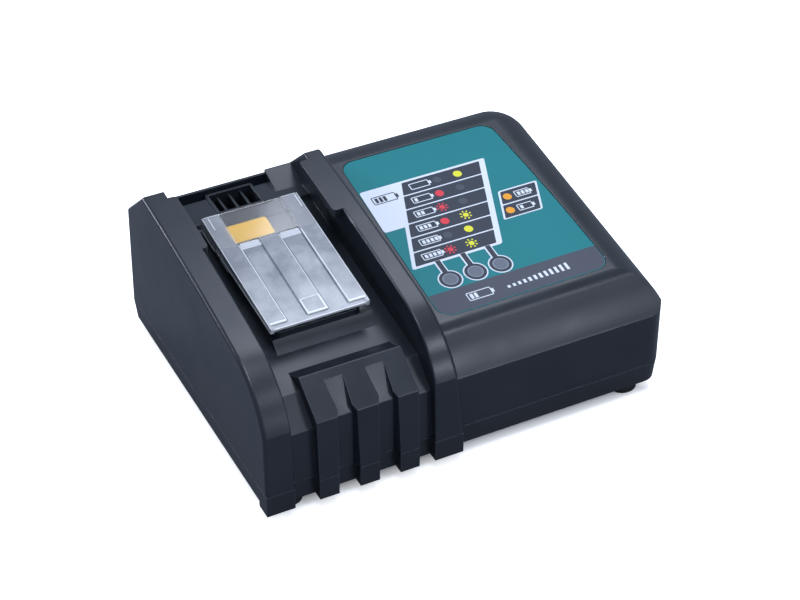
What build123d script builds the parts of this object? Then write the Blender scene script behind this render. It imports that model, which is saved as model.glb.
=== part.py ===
from build123d import *
import os
from math import cos, radians, sin, tan

# Mains charger for slide-on tool batteries. Battery bay on the left, control section on the right.
# Millimetres, +Z up, front (ribbed face) towards -Y. The origin is on the floor, under the middle.
# Names that end in _drop are measured down from the highest point, _back from the front and
# _ahead from the rear wall.

# ---------------------------------------------------------------- driving dimensions
# Overall
width = 190.0
depth = 150.0
height = 84.0
foot_height = 6.0
gland_reach = 2.0          # the gland's flange stands this far behind the rear wall

# Housing shells
wall = 2.4
seam_rise = 10.5           # parting line, above the tray's underside
seam_step = 0.4            # the tray's rim stands back by this much
side_draft = 1.0           # how far the outer walls lean in, from the parting line to the top
tray_taper = 6.0           # degrees, the tray's walls below the parting line
deck_tilt = 7.2            # degrees, slope of the panel, the bay and the cover
edge_radius = 1.5          # outer edges of the left rail
soft_edge = 0.8            # creases between the faces of one moulding
running_gap = 0.35         # between a sliding piece and its guide
seat_gap = 0.3             # between a loose piece and its seat

# Rails and nose, in side view
crease_drop = 38.0         # where the nose meets the upright front
front_lean = 1.2           # the front leans back this far up to the crease
nose_back = 29.5           # end of the curved nose
nose_drop = 13.4
nose_bulge = 5.05          # the bowed top of the rail runs on from this curve
rail_end_ahead = 21.0      # the rail tops end here, then slope down to the rear wall
shoulder_drop = 18.0       # top of the upright rear wall

# Battery bay, in plan
rail_width = 12.6
bay_width = 64.0
ridge_width = 13.2
ridge_lean = 5.0           # the ridge narrows towards its top, on the side of the panel
rail_notch = 1.4           # the left rail is thinner behind its lip
left_lip_width = 2.4
right_lip_width = 4.2
lip_thickness = 3.2
lip_front_ahead = 60.7
lip_end_ahead = 25.6
lip_corner = 1.6
platform_width = 40.6
platform_back = 44.0
platform_end_ahead = 31.0
platform_drop = 5.2        # cover's top face down to the platform
platform_corner = 4.0
platform_front_face = 3.0
channel_drop = 11.3        # cover's top face down to the side channels
cover_plane_drop = 14.2    # the cover's top face at the middle of the part
ramp_top_drop = 33.0       # where the channels turn down behind the front grooves
ramp_top_back = 17.0
ramp_foot_back = 5.0
ramp_foot_drop = 43.5
shelf_drop = 18.0          # level shelf round the duct mouth
shelf_ahead = 28.0
back_wall_ahead = 6.4
back_wall_drop = 15.8
back_wall_thickness = 1.2
bay_shoulder_drop = 20.0   # rear edge of the housing behind the bay
trench_back = 10.3         # a trench in the shelf, from the rear wall forward
trench_drop = 3.4
stop_width = 12.5          # a wedge beside the ridge that stops the battery
stop_length = 12.0
stop_drop = 14.0

# Ribbed front
block_width = 8.8
block_pitch = 18.4
block_count = 3
block_offset = 1.9         # the blocks stand this far right of the bay's centre
chin_back = 18.3
chin_drop = 26.6
scoop_depth = 5.4
groove_depth = 3.9
groove_top_back = 14.8
groove_top_drop = 29.0
groove_top_half = 4.2
groove_crease_drop = 40.4
groove_floor_half = 3.2
groove_mouth_half = 4.8

# Control section
section_setback = 4.0      # its front stands behind the ribs
section_crease_drop = 41.4
panel_drop = 17.5          # panel plane at the middle of the part
panel_back = 18.5          # where the brow starts, behind the section's front
brow_radius = 9.0
brow_slope = 57.0          # degrees, steepest part under the brow
shoulder_radius = 17.5
corner_radius = 18.5
front_corner_radius = 8.0
label_recess = 0.7
label_thickness = 0.5
label_back = 19.5          # behind the section's front
label_ahead = 21.4
label_margin = 1.6         # from the ridge, at the label's front
label_skew = 2.0
label_right_margin = 17.8
label_taper = 4.2
label_bow = 1.0
label_corner = 6.5
window_diameter = 7.6
window_pitch = 12.0
window_inset = 15.5        # first window, from the ridge
window_back = 38.8         # row of windows, behind the section's front
window_count = 3

# Terminal cover
cover_overhang = 2.0       # over the platform's edge, each side
cover_lead = 3.0           # over the platform's front and short of its rear
cover_plate = 1.6
cover_skirt_front = 2.4
cover_skirt_middle = 4.6
cover_skirt_rear = 6.4
cover_skirt_notch = 1.5
cover_rib_height = 1.8
cover_rib_thickness = 0.8
channel_width = 9.4        # sunk channels in the roof, over the blades
channel_ahead = 20.5       # the channels start here, from the cover's rear
cover_lip = 2.6            # the roof's front strip, level with the channels
cover_step = 0.5           # the channels lie this much lower than the rest of the roof
hook_top = 5.8             # the hooks under the skirts, below the cover's top face
hook_height = 0.6
hook_reach = 0.8
hook_length = 8.0
hook_ahead = 29.0          # the grooves for the hooks start here, from the cover's rear

# Terminals
block_margin = 4.8         # platform left on each side of the terminal block
block_flange = 1.2
block_back = 5.0           # from the platform's front
block_ahead = 8.0          # from the platform's rear
block_depth = 5.0
block_top = 5.6            # the block's top, below the cover's top face
trench_width = 5.0
trench_depth = 3.8
blade_back = 4.0           # from the block's front
blade_top = 2.1
blade_spacing = 18.4
blade_thickness = 0.8
blade_length = 22.0
blade_nose = 3.0
blade_lead = 0.25
connector_width = 19.6
connector_depth = 11.0
connector_margin = 1.3     # from the block's left edge
connector_ahead = 5.0      # from the cover's rear
connector_top = 4.7
connector_roof = 0.8
pin_count = 5
pin_pitch = 3.4
spring_diameter = 3.0
spring_wire = 0.5
spring_length = 27.0
spring_inset = 2.3         # from the platform's edge
spring_seat = 1.2          # thickness of the cover's tongues

# Fan and duct
fan_size = 40.0
fan_thickness = 15.0
fan_bore = 37.6
fan_hub = 17.0
fan_blades = 7
fan_ahead = 25.5
fan_rise = 14.0            # above the tray's underside
fan_screw_spacing = 32.0
fan_hole = 3.6
inlet_slots = 7
inlet_pitch = 4.6
vent_width = 2.4
vent_length = 22.0
vent_count = 4
duct_mouth_x = 22.0
duct_mouth_y = 16.0
duct_mouth_ahead = 15.4
duct_offset = 1.0          # the mouth stands right of the bay's centre
duct_vane_drop = 2.0       # the vanes end this far below the mouth
duct_wall = 1.2
duct_vanes = 3
duct_vane_rise = 8.0

# Boards
board_thickness = 1.6
board_rise = 12.0          # above the tray's underside
board_left_margin = 15.0
board_right_margin = 13.0
board_back = 13.0
board_ahead = 7.0
board_fan_gap = 5.5        # the board leaves this much room in front of the fan
board_hole_inset = 6.0
indicator_board_drop = 12.0
indicator_board_x = 44.0
indicator_board_y = 28.0
guide_bottom = 5.7         # lower face of the light guides, below the panel
lamp_diameter = 5.0
transformer_inset = 49.0   # from the right side
transformer_y = -14.0
core_width = 36.0
core_height = 20.0
core_depth = 12.0
core_leg = 10.0
core_window = 8.0
core_lift = 0.2
bulk_inset = 47.0
bulk_ahead = 51.0
bulk_diameter = 22.0
bulk_height = 32.0
sink_back = 3.0
sink_fin = 7.0
sink_fin_thickness = 1.2
sink_pitch = 4.6
primary_sink_inset = 21.0
primary_sink_y = -8.0
primary_sink_length = 48.0
primary_sink_height = 28.0
secondary_sink_inset = 6.8  # from the ridge
secondary_sink_y = 2.0
secondary_sink_length = 42.0
secondary_sink_height = 22.0
output_can_inset = 13.4    # from the bay's right side
output_can_y = -18.0
output_can_diameter = 10.0
output_can_height = 20.0
filter_inset = 47.0
filter_ahead = 23.0
filter_size = (26.0, 10.0, 17.0)
choke_inset = 2.2          # from the ridge
choke_ahead = 27.0
choke_outer = 11.0
choke_inner = 6.0
choke_height = 8.0
winding_build = 1.5
fuse_inset = 19.0
fuse_ahead = 37.0
fuse_length = 20.0
fuse_diameter = 5.2
fuse_clip_spacing = 14.0
sounder_inset = 25.6       # from the bay's left side
sounder_back = 35.0
sounder_diameter = 12.0
sounder_height = 8.0

# Fasteners, feet and gland
screw_inset = 7.6
screw_back = 25.0
screw_ahead = 27.0
screw_shank = 3.4
screw_head = 6.4
screw_head_height = 2.4
screw_length = 18.0
screw_seat_rise = 4.4
boss_diameter = 7.6
boss_height = 15.0
foot_diameter = 13.0
foot_inset = 14.6
foot_back = 13.5
foot_ahead = 13.0
foot_seat_depth = 1.2
foot_stem = 4.0
gland_inset = 37.0
gland_rise = 24.0
gland_flange = 15.0
gland_neck = 11.0
cord_bore = 7.0

# ---------------------------------------------------------------- places worked out from them
left = -width / 2
right = width / 2
front = -depth / 2
rear = depth / 2 - gland_reach
bay_left = left + rail_width
bay_right = bay_left + bay_width
bay_centre = (bay_left + bay_right) / 2
ridge_right = bay_right + ridge_width
tilt = radians(deck_tilt)
slope = tan(tilt)

# Heights
seam_height = foot_height + seam_rise
tray_floor = foot_height + wall
crease_height = height - crease_drop
nose_height = height - nose_drop
shoulder_height = height - shoulder_drop
cover_plane_height = height - cover_plane_drop
ramp_top_height = height - ramp_top_drop
ramp_foot_height = height - ramp_foot_drop
shelf_height = height - shelf_drop
back_wall_height = height - back_wall_drop
bay_shoulder_height = height - bay_shoulder_drop
stop_height = height - stop_drop
chin_height = height - chin_drop
groove_top_height = height - groove_top_drop
groove_crease = height - groove_crease_drop
section_crease_height = height - section_crease_drop
panel_height = height - panel_drop
screw_seat = foot_height + screw_seat_rise
gland_height = foot_height + gland_rise

# Places along the part
section_front = front + section_setback
rail_rear = rear - rail_end_ahead
groove_back = front + groove_depth
groove_top = front + groove_top_back
ramp_foot = front + ramp_foot_back
ramp_top = front + ramp_top_back
chin_top = front + chin_back
platform_front = front + platform_back
platform_rear = rear - platform_end_ahead
shelf_front = rear - shelf_ahead
back_wall_front = rear - back_wall_ahead
trench_front = rear - trench_back
lip_front = rear - lip_front_ahead
lip_rear = rear - lip_end_ahead
panel_front = section_front + panel_back
label_front = section_front + label_back
label_rear = rear - label_ahead
window_row = section_front + window_back
cover_front = platform_front - cover_lead
cover_rear = platform_rear - cover_lead
block_front = platform_front + block_back
block_length = platform_rear - block_ahead - block_front
blade_front = block_front + blade_back
connector_front = cover_rear - connector_ahead - connector_depth
spring_rear = cover_rear
hook_front = cover_rear - hook_ahead
channel_rear = cover_rear - channel_ahead
fan_y = rear - fan_ahead
duct_mouth_centre_y = rear - duct_mouth_ahead

# Places across the part
block_centre = bay_centre + block_offset
centre_left = block_centre - (block_count - 1) / 2 * block_pitch - block_width / 2
centre_right = block_centre + (block_count - 1) / 2 * block_pitch + block_width / 2
platform_left = bay_centre - platform_width / 2
platform_right = bay_centre + platform_width / 2
label_left = ridge_right + label_margin
label_right_front = right - label_right_margin
label_right_rear = label_right_front - label_taper
window_first = ridge_right + window_inset
cover_width = platform_width + 2 * cover_overhang
block_top_width = platform_width - 2 * block_margin
connector_offset = connector_margin + (connector_width - block_top_width) / 2
pin_foot = block_top + trench_depth - 1
spring_offset = platform_width / 2 - spring_inset
spring_axis_drop = (platform_drop + cover_plate) / 2
duct_x = bay_centre + duct_offset

# Fan, duct and boards
fan_floor = foot_height + fan_rise
fan_screw_reach = fan_screw_spacing / 2
fan_corners = [(bay_centre + i * fan_screw_reach, fan_y + j * fan_screw_reach) for i in (-1, 1) for j in (-1, 1)]
duct_floor = fan_floor + fan_thickness + seat_gap
duct_neck = shelf_height - trench_drop - wall - 1.0
board_height = foot_height + board_rise
board_top = board_height + board_thickness
board_left = left + board_left_margin
board_right = right - board_right_margin
board_front = front + board_back
board_rear = rear - board_ahead
board_notch_x = bay_centre + fan_size / 2 + 1.2 * board_fan_gap
board_notch_y = fan_y - fan_size / 2 - board_fan_gap
board_holes = [
    (board_left + board_hole_inset, board_front + board_hole_inset),
    (board_left + board_hole_inset, board_notch_y - board_hole_inset),
    (board_notch_x + board_hole_inset, board_rear - board_hole_inset),
    (board_right - board_hole_inset, board_front + board_hole_inset),
    (board_right - board_hole_inset, board_rear - board_hole_inset),
]
transformer_x = right - transformer_inset
core_window_x = (core_leg + core_window) / 2
primary_sink_x = right - primary_sink_inset
secondary_sink_x = ridge_right - secondary_sink_inset
choke_x = ridge_right + choke_inset
choke_y = rear - choke_ahead
fuse_x = right - fuse_inset
fuse_y = rear - fuse_ahead
output_can_x = bay_right - output_can_inset

# Fasteners, feet and gland
screw_rows = (front + screw_back, rear - screw_ahead)
screw_places = [(x, y) for x in (left + screw_inset, right - screw_inset) for y in screw_rows]
foot_rows = (front + foot_back, rear - foot_ahead)
foot_places = [(x, y) for x in (left + foot_inset, right - foot_inset) for y in foot_rows]
gland_x = right - gland_inset

os.makedirs("parts", exist_ok=True)


def finish(part_builder, name):
    """Label a finished piece and write it under its own name."""
    part_builder.part.label = name
    export_step(part_builder.part, f"parts/{name}.step")


def deck_height(plane_height, y):
    """Height of a face that slopes with the deck, at a place y."""
    return plane_height + slope * y


# The cover, blades and springs lie in a frame that slopes with the bay.
slide_origin = Vector(bay_centre, 0, cover_plane_height)
slide_plane = Plane(origin=slide_origin, x_dir=(1, 0, 0), z_dir=(0, -sin(tilt), cos(tilt)))
slide_side = Plane(origin=slide_origin, x_dir=(0, cos(tilt), sin(tilt)), z_dir=(1, 0, 0))
spring_end = slide_plane.from_local_coords((0, spring_rear - spring_length, 0))
spring_plane = Plane(origin=spring_end, x_dir=(1, 0, 0), z_dir=(0, cos(tilt), sin(tilt)))
panel_plane = Plane(origin=(0, 0, panel_height), x_dir=(1, 0, 0), z_dir=(0, -sin(tilt), cos(tilt)))


def pin_place(i):
    """Place across the bay of one signal pin."""
    return connector_offset + (i - (pin_count - 1) / 2) * pin_pitch


# ---------------------------------------------------------------- side profiles, drawn in the YZ plane
def draw_rail(bottom):
    """Left rail and ridge: upright front, curved nose, bowed top, sloping rear shoulder."""
    crease = (front + front_lean, crease_height)
    nose = (front + nose_back, nose_height)
    top = (rail_rear, height)
    shoulder = (rear - side_draft, shoulder_height)
    Line((front, bottom), crease)
    nose_arc = SagittaArc(crease, nose, nose_bulge)
    TangentArc(nose, top, tangent=nose_arc % 1)
    Polyline(top, shoulder, (rear, bottom), (front, bottom))


def draw_channel(bottom):
    """Side channels of the bay, with the ramp down to the grooves of the front."""
    Polyline(
        (groove_back, bottom),
        (ramp_foot, ramp_foot_height),
        (ramp_top, ramp_top_height),
        (shelf_front, deck_height(cover_plane_height - channel_drop, shelf_front)),
        (shelf_front + 1.5, shelf_height),
        (trench_front, shelf_height),
        (trench_front, shelf_height - trench_drop),
        (back_wall_front, shelf_height - trench_drop),
        (back_wall_front, back_wall_height),
        (back_wall_front + back_wall_thickness, back_wall_height),
        (rear - side_draft, bay_shoulder_height),
        (rear, bottom),
        (groove_back, bottom),
    )


def draw_chin(bottom):
    """Front blocks of the bay: upright face, sloping chin, then a hollow up to the cover."""
    crease = (front + front_lean, crease_height)
    chin = (chin_top, chin_height)
    scoop_end_height = deck_height(cover_plane_height - platform_drop, platform_front) - platform_front_face
    scoop_end = (platform_front, scoop_end_height)
    Polyline((front, bottom), crease, chin)
    SagittaArc(chin, scoop_end, -scoop_depth)
    Polyline(scoop_end, (platform_front + wall, scoop_end_height), (platform_front + wall, bottom), (front, bottom))


def draw_platform(bottom):
    """Platform that the terminal cover slides on, ending in a slope down to the shelf."""
    Polyline(
        (platform_front, bottom),
        (platform_front, deck_height(cover_plane_height - platform_drop, platform_front)),
        (platform_rear, deck_height(cover_plane_height - platform_drop, platform_rear)),
        (shelf_front, shelf_height),
        (shelf_front, bottom),
        (platform_front, bottom),
    )


def strip(draw, x_low, x_high, creases=()):
    """Extrude a side profile from one X to another, in the part being built, with soft creases."""
    with BuildSketch(Plane.YZ.offset(x_low)) as profile:
        with BuildLine():
            draw(seam_height)
        make_face()
        for crease in creases:
            fillet(profile.vertices().sort_by_distance(crease)[0], soft_edge)
    extrude(profile.sketch, amount=x_high - x_low)


def hollow(draw, x_low, x_high, y_front=-depth):
    """Cut the room one wall inside a side profile, open at the parting line."""
    with BuildSketch(Plane.YZ.offset(x_low)) as profile:
        with BuildLine():
            draw(seam_height - 3 * wall)
        make_face()
        offset(amount=-wall, kind=Kind.INTERSECTION, mode=Mode.REPLACE)
        with Locations((y_front - depth, 0)):
            Rectangle(2 * depth, 4 * height, mode=Mode.SUBTRACT)
    extrude(profile.sketch, amount=x_high - x_low, mode=Mode.SUBTRACT)


def control_section(inset, bottom):
    """Solid of the control section, or, with an inset, of the room inside it."""
    low = section_front + inset
    high = rear - inset
    panel = panel_height - inset
    with BuildPart() as section:
        with BuildSketch(Plane.YZ.offset(bay_right + inset)):
            with BuildLine():
                Polyline(
                    (low, bottom),
                    (low, deck_height(panel, low)),
                    (high - side_draft, deck_height(panel, high - side_draft)),
                    (high, bottom),
                    (low, bottom),
                )
            make_face()
        extrude(amount=right - bay_right - 2 * inset)
        corner = section.edges().filter_by(Axis.Z, 3).group_by(Axis.X)[-1].sort_by(Axis.Y)[-1]
        fillet(corner, corner_radius - inset)
        rims = section.faces().sort_by(Axis.Z)[-1].edges()
        rims = rims.filter_by(lambda edge: edge.center().Y > low + 1 and edge.center().X > bay_right + 5)
        fillet(rims, shoulder_radius - inset)
        # The brow and the hollow chin under it
        crease = (section_front + inset, section_crease_height - 0.6 * inset)
        brow_start = (panel_front + 0.4 * inset, deck_height(panel, panel_front + 0.4 * inset))
        turn = radians(brow_slope)
        brow_end = (
            brow_start[0] - brow_radius * (sin(turn) - sin(tilt)),
            brow_start[1] - brow_radius * (cos(tilt) - cos(turn)),
        )
        with BuildSketch(Plane.YZ.offset(bay_right)):
            with BuildLine():
                TangentArc(brow_start, brow_end, tangent=(-cos(tilt), -sin(tilt)))
                TangentArc(brow_end, crease, tangent=(-cos(turn), -sin(turn)))
                Polyline(crease, (low - 5, crease[1]), (low - 5, height), (brow_start[0], height), brow_start)
            make_face()
        extrude(amount=right - bay_right + 5, mode=Mode.SUBTRACT)
        if inset == 0:
            creases = section.edges().filter_by(Axis.X)
            fillet(creases.filter_by(lambda edge: abs(edge.center().Z - crease[1]) < 0.1), soft_edge)
        with BuildSketch(Plane.XY.offset(bottom)) as plan:
            with Locations(((bay_right + right) / 2, 0)):
                Rectangle(right - bay_right - 2 * inset, 2 * abs(low))
            fillet(plan.vertices().group_by(Axis.X)[-1].sort_by(Axis.Y)[0], front_corner_radius - inset)
            with Locations((bay_right + corner_radius, high - corner_radius)):
                Rectangle(2 * width, 2 * corner_radius)
        extrude(amount=height, mode=Mode.INTERSECT)
    return section


def rail(x_low, x_high, lean_low, lean_high, round_low, round_high):
    """One guide rail, its sides leaning in towards the top and its edges rounded."""
    with BuildPart() as guide:
        strip(draw_rail, x_low, x_high, [(front + front_lean, crease_height)])
        with BuildSketch(Plane.XZ.offset(-rear - 1)):
            with BuildLine():
                Polyline(
                    (x_low, seam_height),
                    (x_high, seam_height),
                    (x_high - lean_high, height),
                    (x_high - lean_high, height + 5),
                    (x_low + lean_low, height + 5),
                    (x_low + lean_low, height),
                    (x_low, seam_height),
                )
            make_face()
        extrude(amount=depth + 5, mode=Mode.INTERSECT)
        for end, size in ((0, round_low), (-1, round_high)):
            side_edges = guide.faces().sort_by(Axis.X)[end].edges()
            fillet(side_edges.filter_by(lambda edge: edge.center().Z > seam_height + 1), size)
    return guide


def groove(half_width):
    """Cutter for one groove between two blocks: hourglass in plan, with a hollow ramp at its back."""
    with BuildPart() as cutter:
        with BuildSketch(Plane.YZ.offset(-half_width)) as ramp:
            with BuildLine():
                Polyline(
                    (groove_top, groove_top_height),
                    (groove_back, groove_crease),
                    (groove_back, seam_height - 1),
                    (front - 5, seam_height - 1),
                    (front - 5, groove_top_height + 5),
                    (groove_top, groove_top_height + 5),
                    (groove_top, groove_top_height),
                )
            make_face()
            fillet(ramp.vertices().sort_by_distance((groove_back, groove_crease))[0], soft_edge)
        extrude(amount=2 * half_width)
        with BuildSketch(Plane.XY.offset(seam_height - 1)):
            with BuildLine():
                Polyline(
                    (-groove_mouth_half - 1, front - 2),
                    (-groove_floor_half, groove_back),
                    (-groove_top_half, groove_top),
                    (groove_top_half, groove_top),
                    (groove_floor_half, groove_back),
                    (groove_mouth_half + 1, front - 2),
                    (-groove_mouth_half - 1, front - 2),
                )
            make_face()
        extrude(amount=height, mode=Mode.INTERSECT)
    return cutter


def draw_label():
    """Outline of the printed label, on the sloping panel."""
    front_left = (label_left, label_front / cos(tilt))
    rear_left = (label_left + label_skew, label_rear / cos(tilt))
    rear_right = (label_right_rear, label_rear / cos(tilt))
    front_right = (label_right_front, label_front / cos(tilt))
    Polyline(front_right, front_left, rear_left, rear_right)
    SagittaArc(rear_right, front_right, label_bow)


def indicator_posts():
    """Centres of the posts that carry the indicator board, on the sloping panel."""
    middle = window_first + window_pitch
    across = indicator_board_x / 2 - 4
    along = indicator_board_y / 2 - 4
    front_row = window_row - along
    return [(middle - across, front_row), (middle + across, front_row), (middle, window_row + along)]


def block_place(i):
    """Place across the front of one block."""
    return block_centre + (i - (block_count - 1) / 2) * block_pitch


def window_places():
    """Centres of the three windows, on the sloping panel."""
    return [(window_first + window_pitch * i, window_row / cos(tilt)) for i in range(window_count)]


# ---------------------------------------------------------------- upper housing
left_rail = rail(left, bay_left, side_draft, 0, edge_radius, soft_edge)
ridge = rail(bay_right, ridge_right, 0, ridge_lean, soft_edge, edge_radius)
section = control_section(0, seam_height)
section_room = control_section(wall, seam_height - wall)
groove_cutter = groove(groove_mouth_half + 2)


def lip(x_low, x_high, inner):
    """Lip that holds the battery's rail down; its top is flush with the rail that it grows from."""
    with BuildPart() as ledge:
        strip(draw_rail, x_low, x_high)
        rise = (height - nose_height) / (rail_rear - front - nose_back)
        with BuildSketch(Plane.YZ.offset(x_low - 1)):
            with BuildLine():
                Polyline(
                    (lip_front, height - (rail_rear - lip_front) * rise - lip_thickness),
                    (lip_rear, height - (rail_rear - lip_rear) * rise - lip_thickness),
                    (lip_rear, height + 5),
                    (lip_front, height + 5),
                    (lip_front, height - (rail_rear - lip_front) * rise - lip_thickness),
                )
            make_face()
        extrude(amount=x_high - x_low + 2, mode=Mode.INTERSECT)
        fillet(ledge.faces().sort_by(Axis.X)[inner].edges().filter_by(Axis.Z), lip_corner)
    return ledge


left_lip = lip(bay_left - 1, bay_left + left_lip_width, -1)
right_lip = lip(bay_right - right_lip_width, bay_right + 1, 0)

with BuildPart() as platform:
    strip(draw_platform, platform_left, platform_right)
    fillet(platform.faces().sort_by(Axis.Y)[0].edges().filter_by(Axis.Z), platform_corner)

with BuildPart() as upper_housing:
    ramp_creases = [(ramp_foot, ramp_foot_height), (ramp_top, ramp_top_height)]
    strip(draw_channel, bay_left - 1, bay_right + 1, ramp_creases)
    chin_creases = [(front + front_lean, crease_height), (chin_top, chin_height)]
    strip(draw_chin, centre_left, centre_right, chin_creases)
    add(platform.part)
    with Locations((block_centre - block_pitch / 2, 0, 0), (block_centre + block_pitch / 2, 0, 0)):
        add(groove_cutter.part, mode=Mode.SUBTRACT)
    add(left_rail.part)
    add(ridge.part)
    add(left_lip.part)
    add(right_lip.part)
    add(section.part)
    # Notch behind the left lip
    with BuildSketch(Plane.XY.offset(shelf_height)):
        with Locations((bay_left - rail_notch / 2, (lip_rear + rear) / 2)):
            Rectangle(rail_notch, rear - lip_rear)
    extrude(amount=height, mode=Mode.SUBTRACT)
    # The rooms inside, all open at the parting line
    hollow(draw_rail, left + side_draft + wall, bay_left - wall)
    hollow(draw_rail, bay_right + wall, ridge_right - ridge_lean - wall)
    hollow(draw_channel, left + side_draft + wall, bay_right + wall + 1)
    hollow(draw_chin, centre_left + wall, centre_right - wall, groove_top + 2 * wall)
    hollow(draw_platform, platform_left + wall, platform_right - wall)
    add(section_room.part, mode=Mode.SUBTRACT)
    # Wedge that stops the battery, from the shelf up to the back wall
    with BuildSketch(Plane.YZ.offset(bay_right - stop_width)):
        with BuildLine():
            Polyline(
                (back_wall_front - stop_length, shelf_height),
                (back_wall_front, stop_height),
                (back_wall_front + back_wall_thickness / 2, stop_height),
                (back_wall_front + back_wall_thickness / 2, shelf_height - trench_drop - wall),
                (back_wall_front - stop_length, shelf_height - wall),
                (back_wall_front - stop_length, shelf_height),
            )
        make_face()
    extrude(amount=stop_width + 1)
    # Mouth of the air duct
    with BuildSketch(Plane.XY.offset(shelf_height - trench_drop - 2 * wall)):
        with Locations((duct_x, duct_mouth_centre_y)):
            Rectangle(duct_mouth_x + 2 * seat_gap, duct_mouth_y + 2 * seat_gap)
    extrude(amount=trench_drop + 4 * wall, mode=Mode.SUBTRACT)
    # Opening for the terminal block, and the grooves that hold the cover's hooks
    with BuildSketch(slide_plane.offset(-platform_drop + 1)):
        with Locations((0, block_front + block_length / 2)):
            Rectangle(block_top_width, block_length)
    extrude(amount=-2 * wall, mode=Mode.SUBTRACT)
    with BuildSketch(slide_plane.offset(-hook_top + running_gap)):
        for side in (-1, 1):
            with Locations((side * platform_width / 2, (hook_front + platform_rear) / 2)):
                Rectangle(2 * hook_reach + 2 * running_gap, platform_rear - hook_front + hook_length)
    extrude(amount=-hook_height - 2 * running_gap, mode=Mode.SUBTRACT)
    # Stops for the cover's springs
    with BuildSketch(slide_plane.offset(-platform_drop - 1)):
        for side in (-1, 1):
            with Locations((side * spring_offset, spring_rear + spring_seat)):
                Rectangle(spring_diameter, 2 * spring_seat - 2 * seat_gap)
    extrude(amount=platform_drop + 1 - cover_plate - seat_gap)
    # Recess for the label, and the windows
    with BuildSketch(panel_plane.offset(1)) as recess:
        with BuildLine():
            draw_label()
        make_face()
        fillet(recess.vertices(), label_corner)
        offset(amount=seat_gap)
    extrude(amount=-1 - label_recess, mode=Mode.SUBTRACT)
    with BuildSketch(panel_plane):
        with Locations(*window_places()):
            Circle(window_diameter / 2 + seat_gap)
    extrude(amount=-2 * wall, mode=Mode.SUBTRACT)
    # Posts that carry the indicator board
    with BuildSketch(panel_plane.offset(-wall + 0.5)):
        with Locations(indicator_posts()):
            Circle(3)
    extrude(amount=-(indicator_board_drop - wall + 0.5))
    with BuildSketch(panel_plane.offset(-wall)):
        with Locations(indicator_posts()):
            Circle(1.2)
    extrude(amount=-indicator_board_drop, mode=Mode.SUBTRACT)
    # Screw bosses with a web to the side wall
    for side in (-1, 1):
        with BuildSketch(Plane.XY.offset(seam_height)):
            for x, y in screw_places:
                if side * x > 0:
                    with Locations((x, y)):
                        Circle(boss_diameter / 2)
                    with Locations((x + side * (screw_inset - wall / 2) / 2, y)):
                        Rectangle(screw_inset - wall / 2, 1.6)
        extrude(amount=boss_height)
    with BuildSketch(Plane.XY.offset(seam_height)):
        with Locations(*screw_places):
            Circle(screw_shank / 2 + running_gap / 7)
    extrude(amount=boss_height - 2, mode=Mode.SUBTRACT)
    # Hole for the cord gland
    with BuildSketch(Plane.XZ.offset(-rear - 1)):
        with Locations((gland_x, gland_height)):
            Circle(gland_neck / 2)
    extrude(amount=2 * wall + 1, mode=Mode.SUBTRACT)
finish(upper_housing, "upper_housing")


# ---------------------------------------------------------------- lower housing
def inlet_length(i):
    """Length of one inlet slot, so that the slots fill a circle under the fan."""
    across = (i - (inlet_slots - 1) / 2) * inlet_pitch
    return 2 * (fan_bore**2 / 4 - across**2) ** 0.5 - 4


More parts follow.
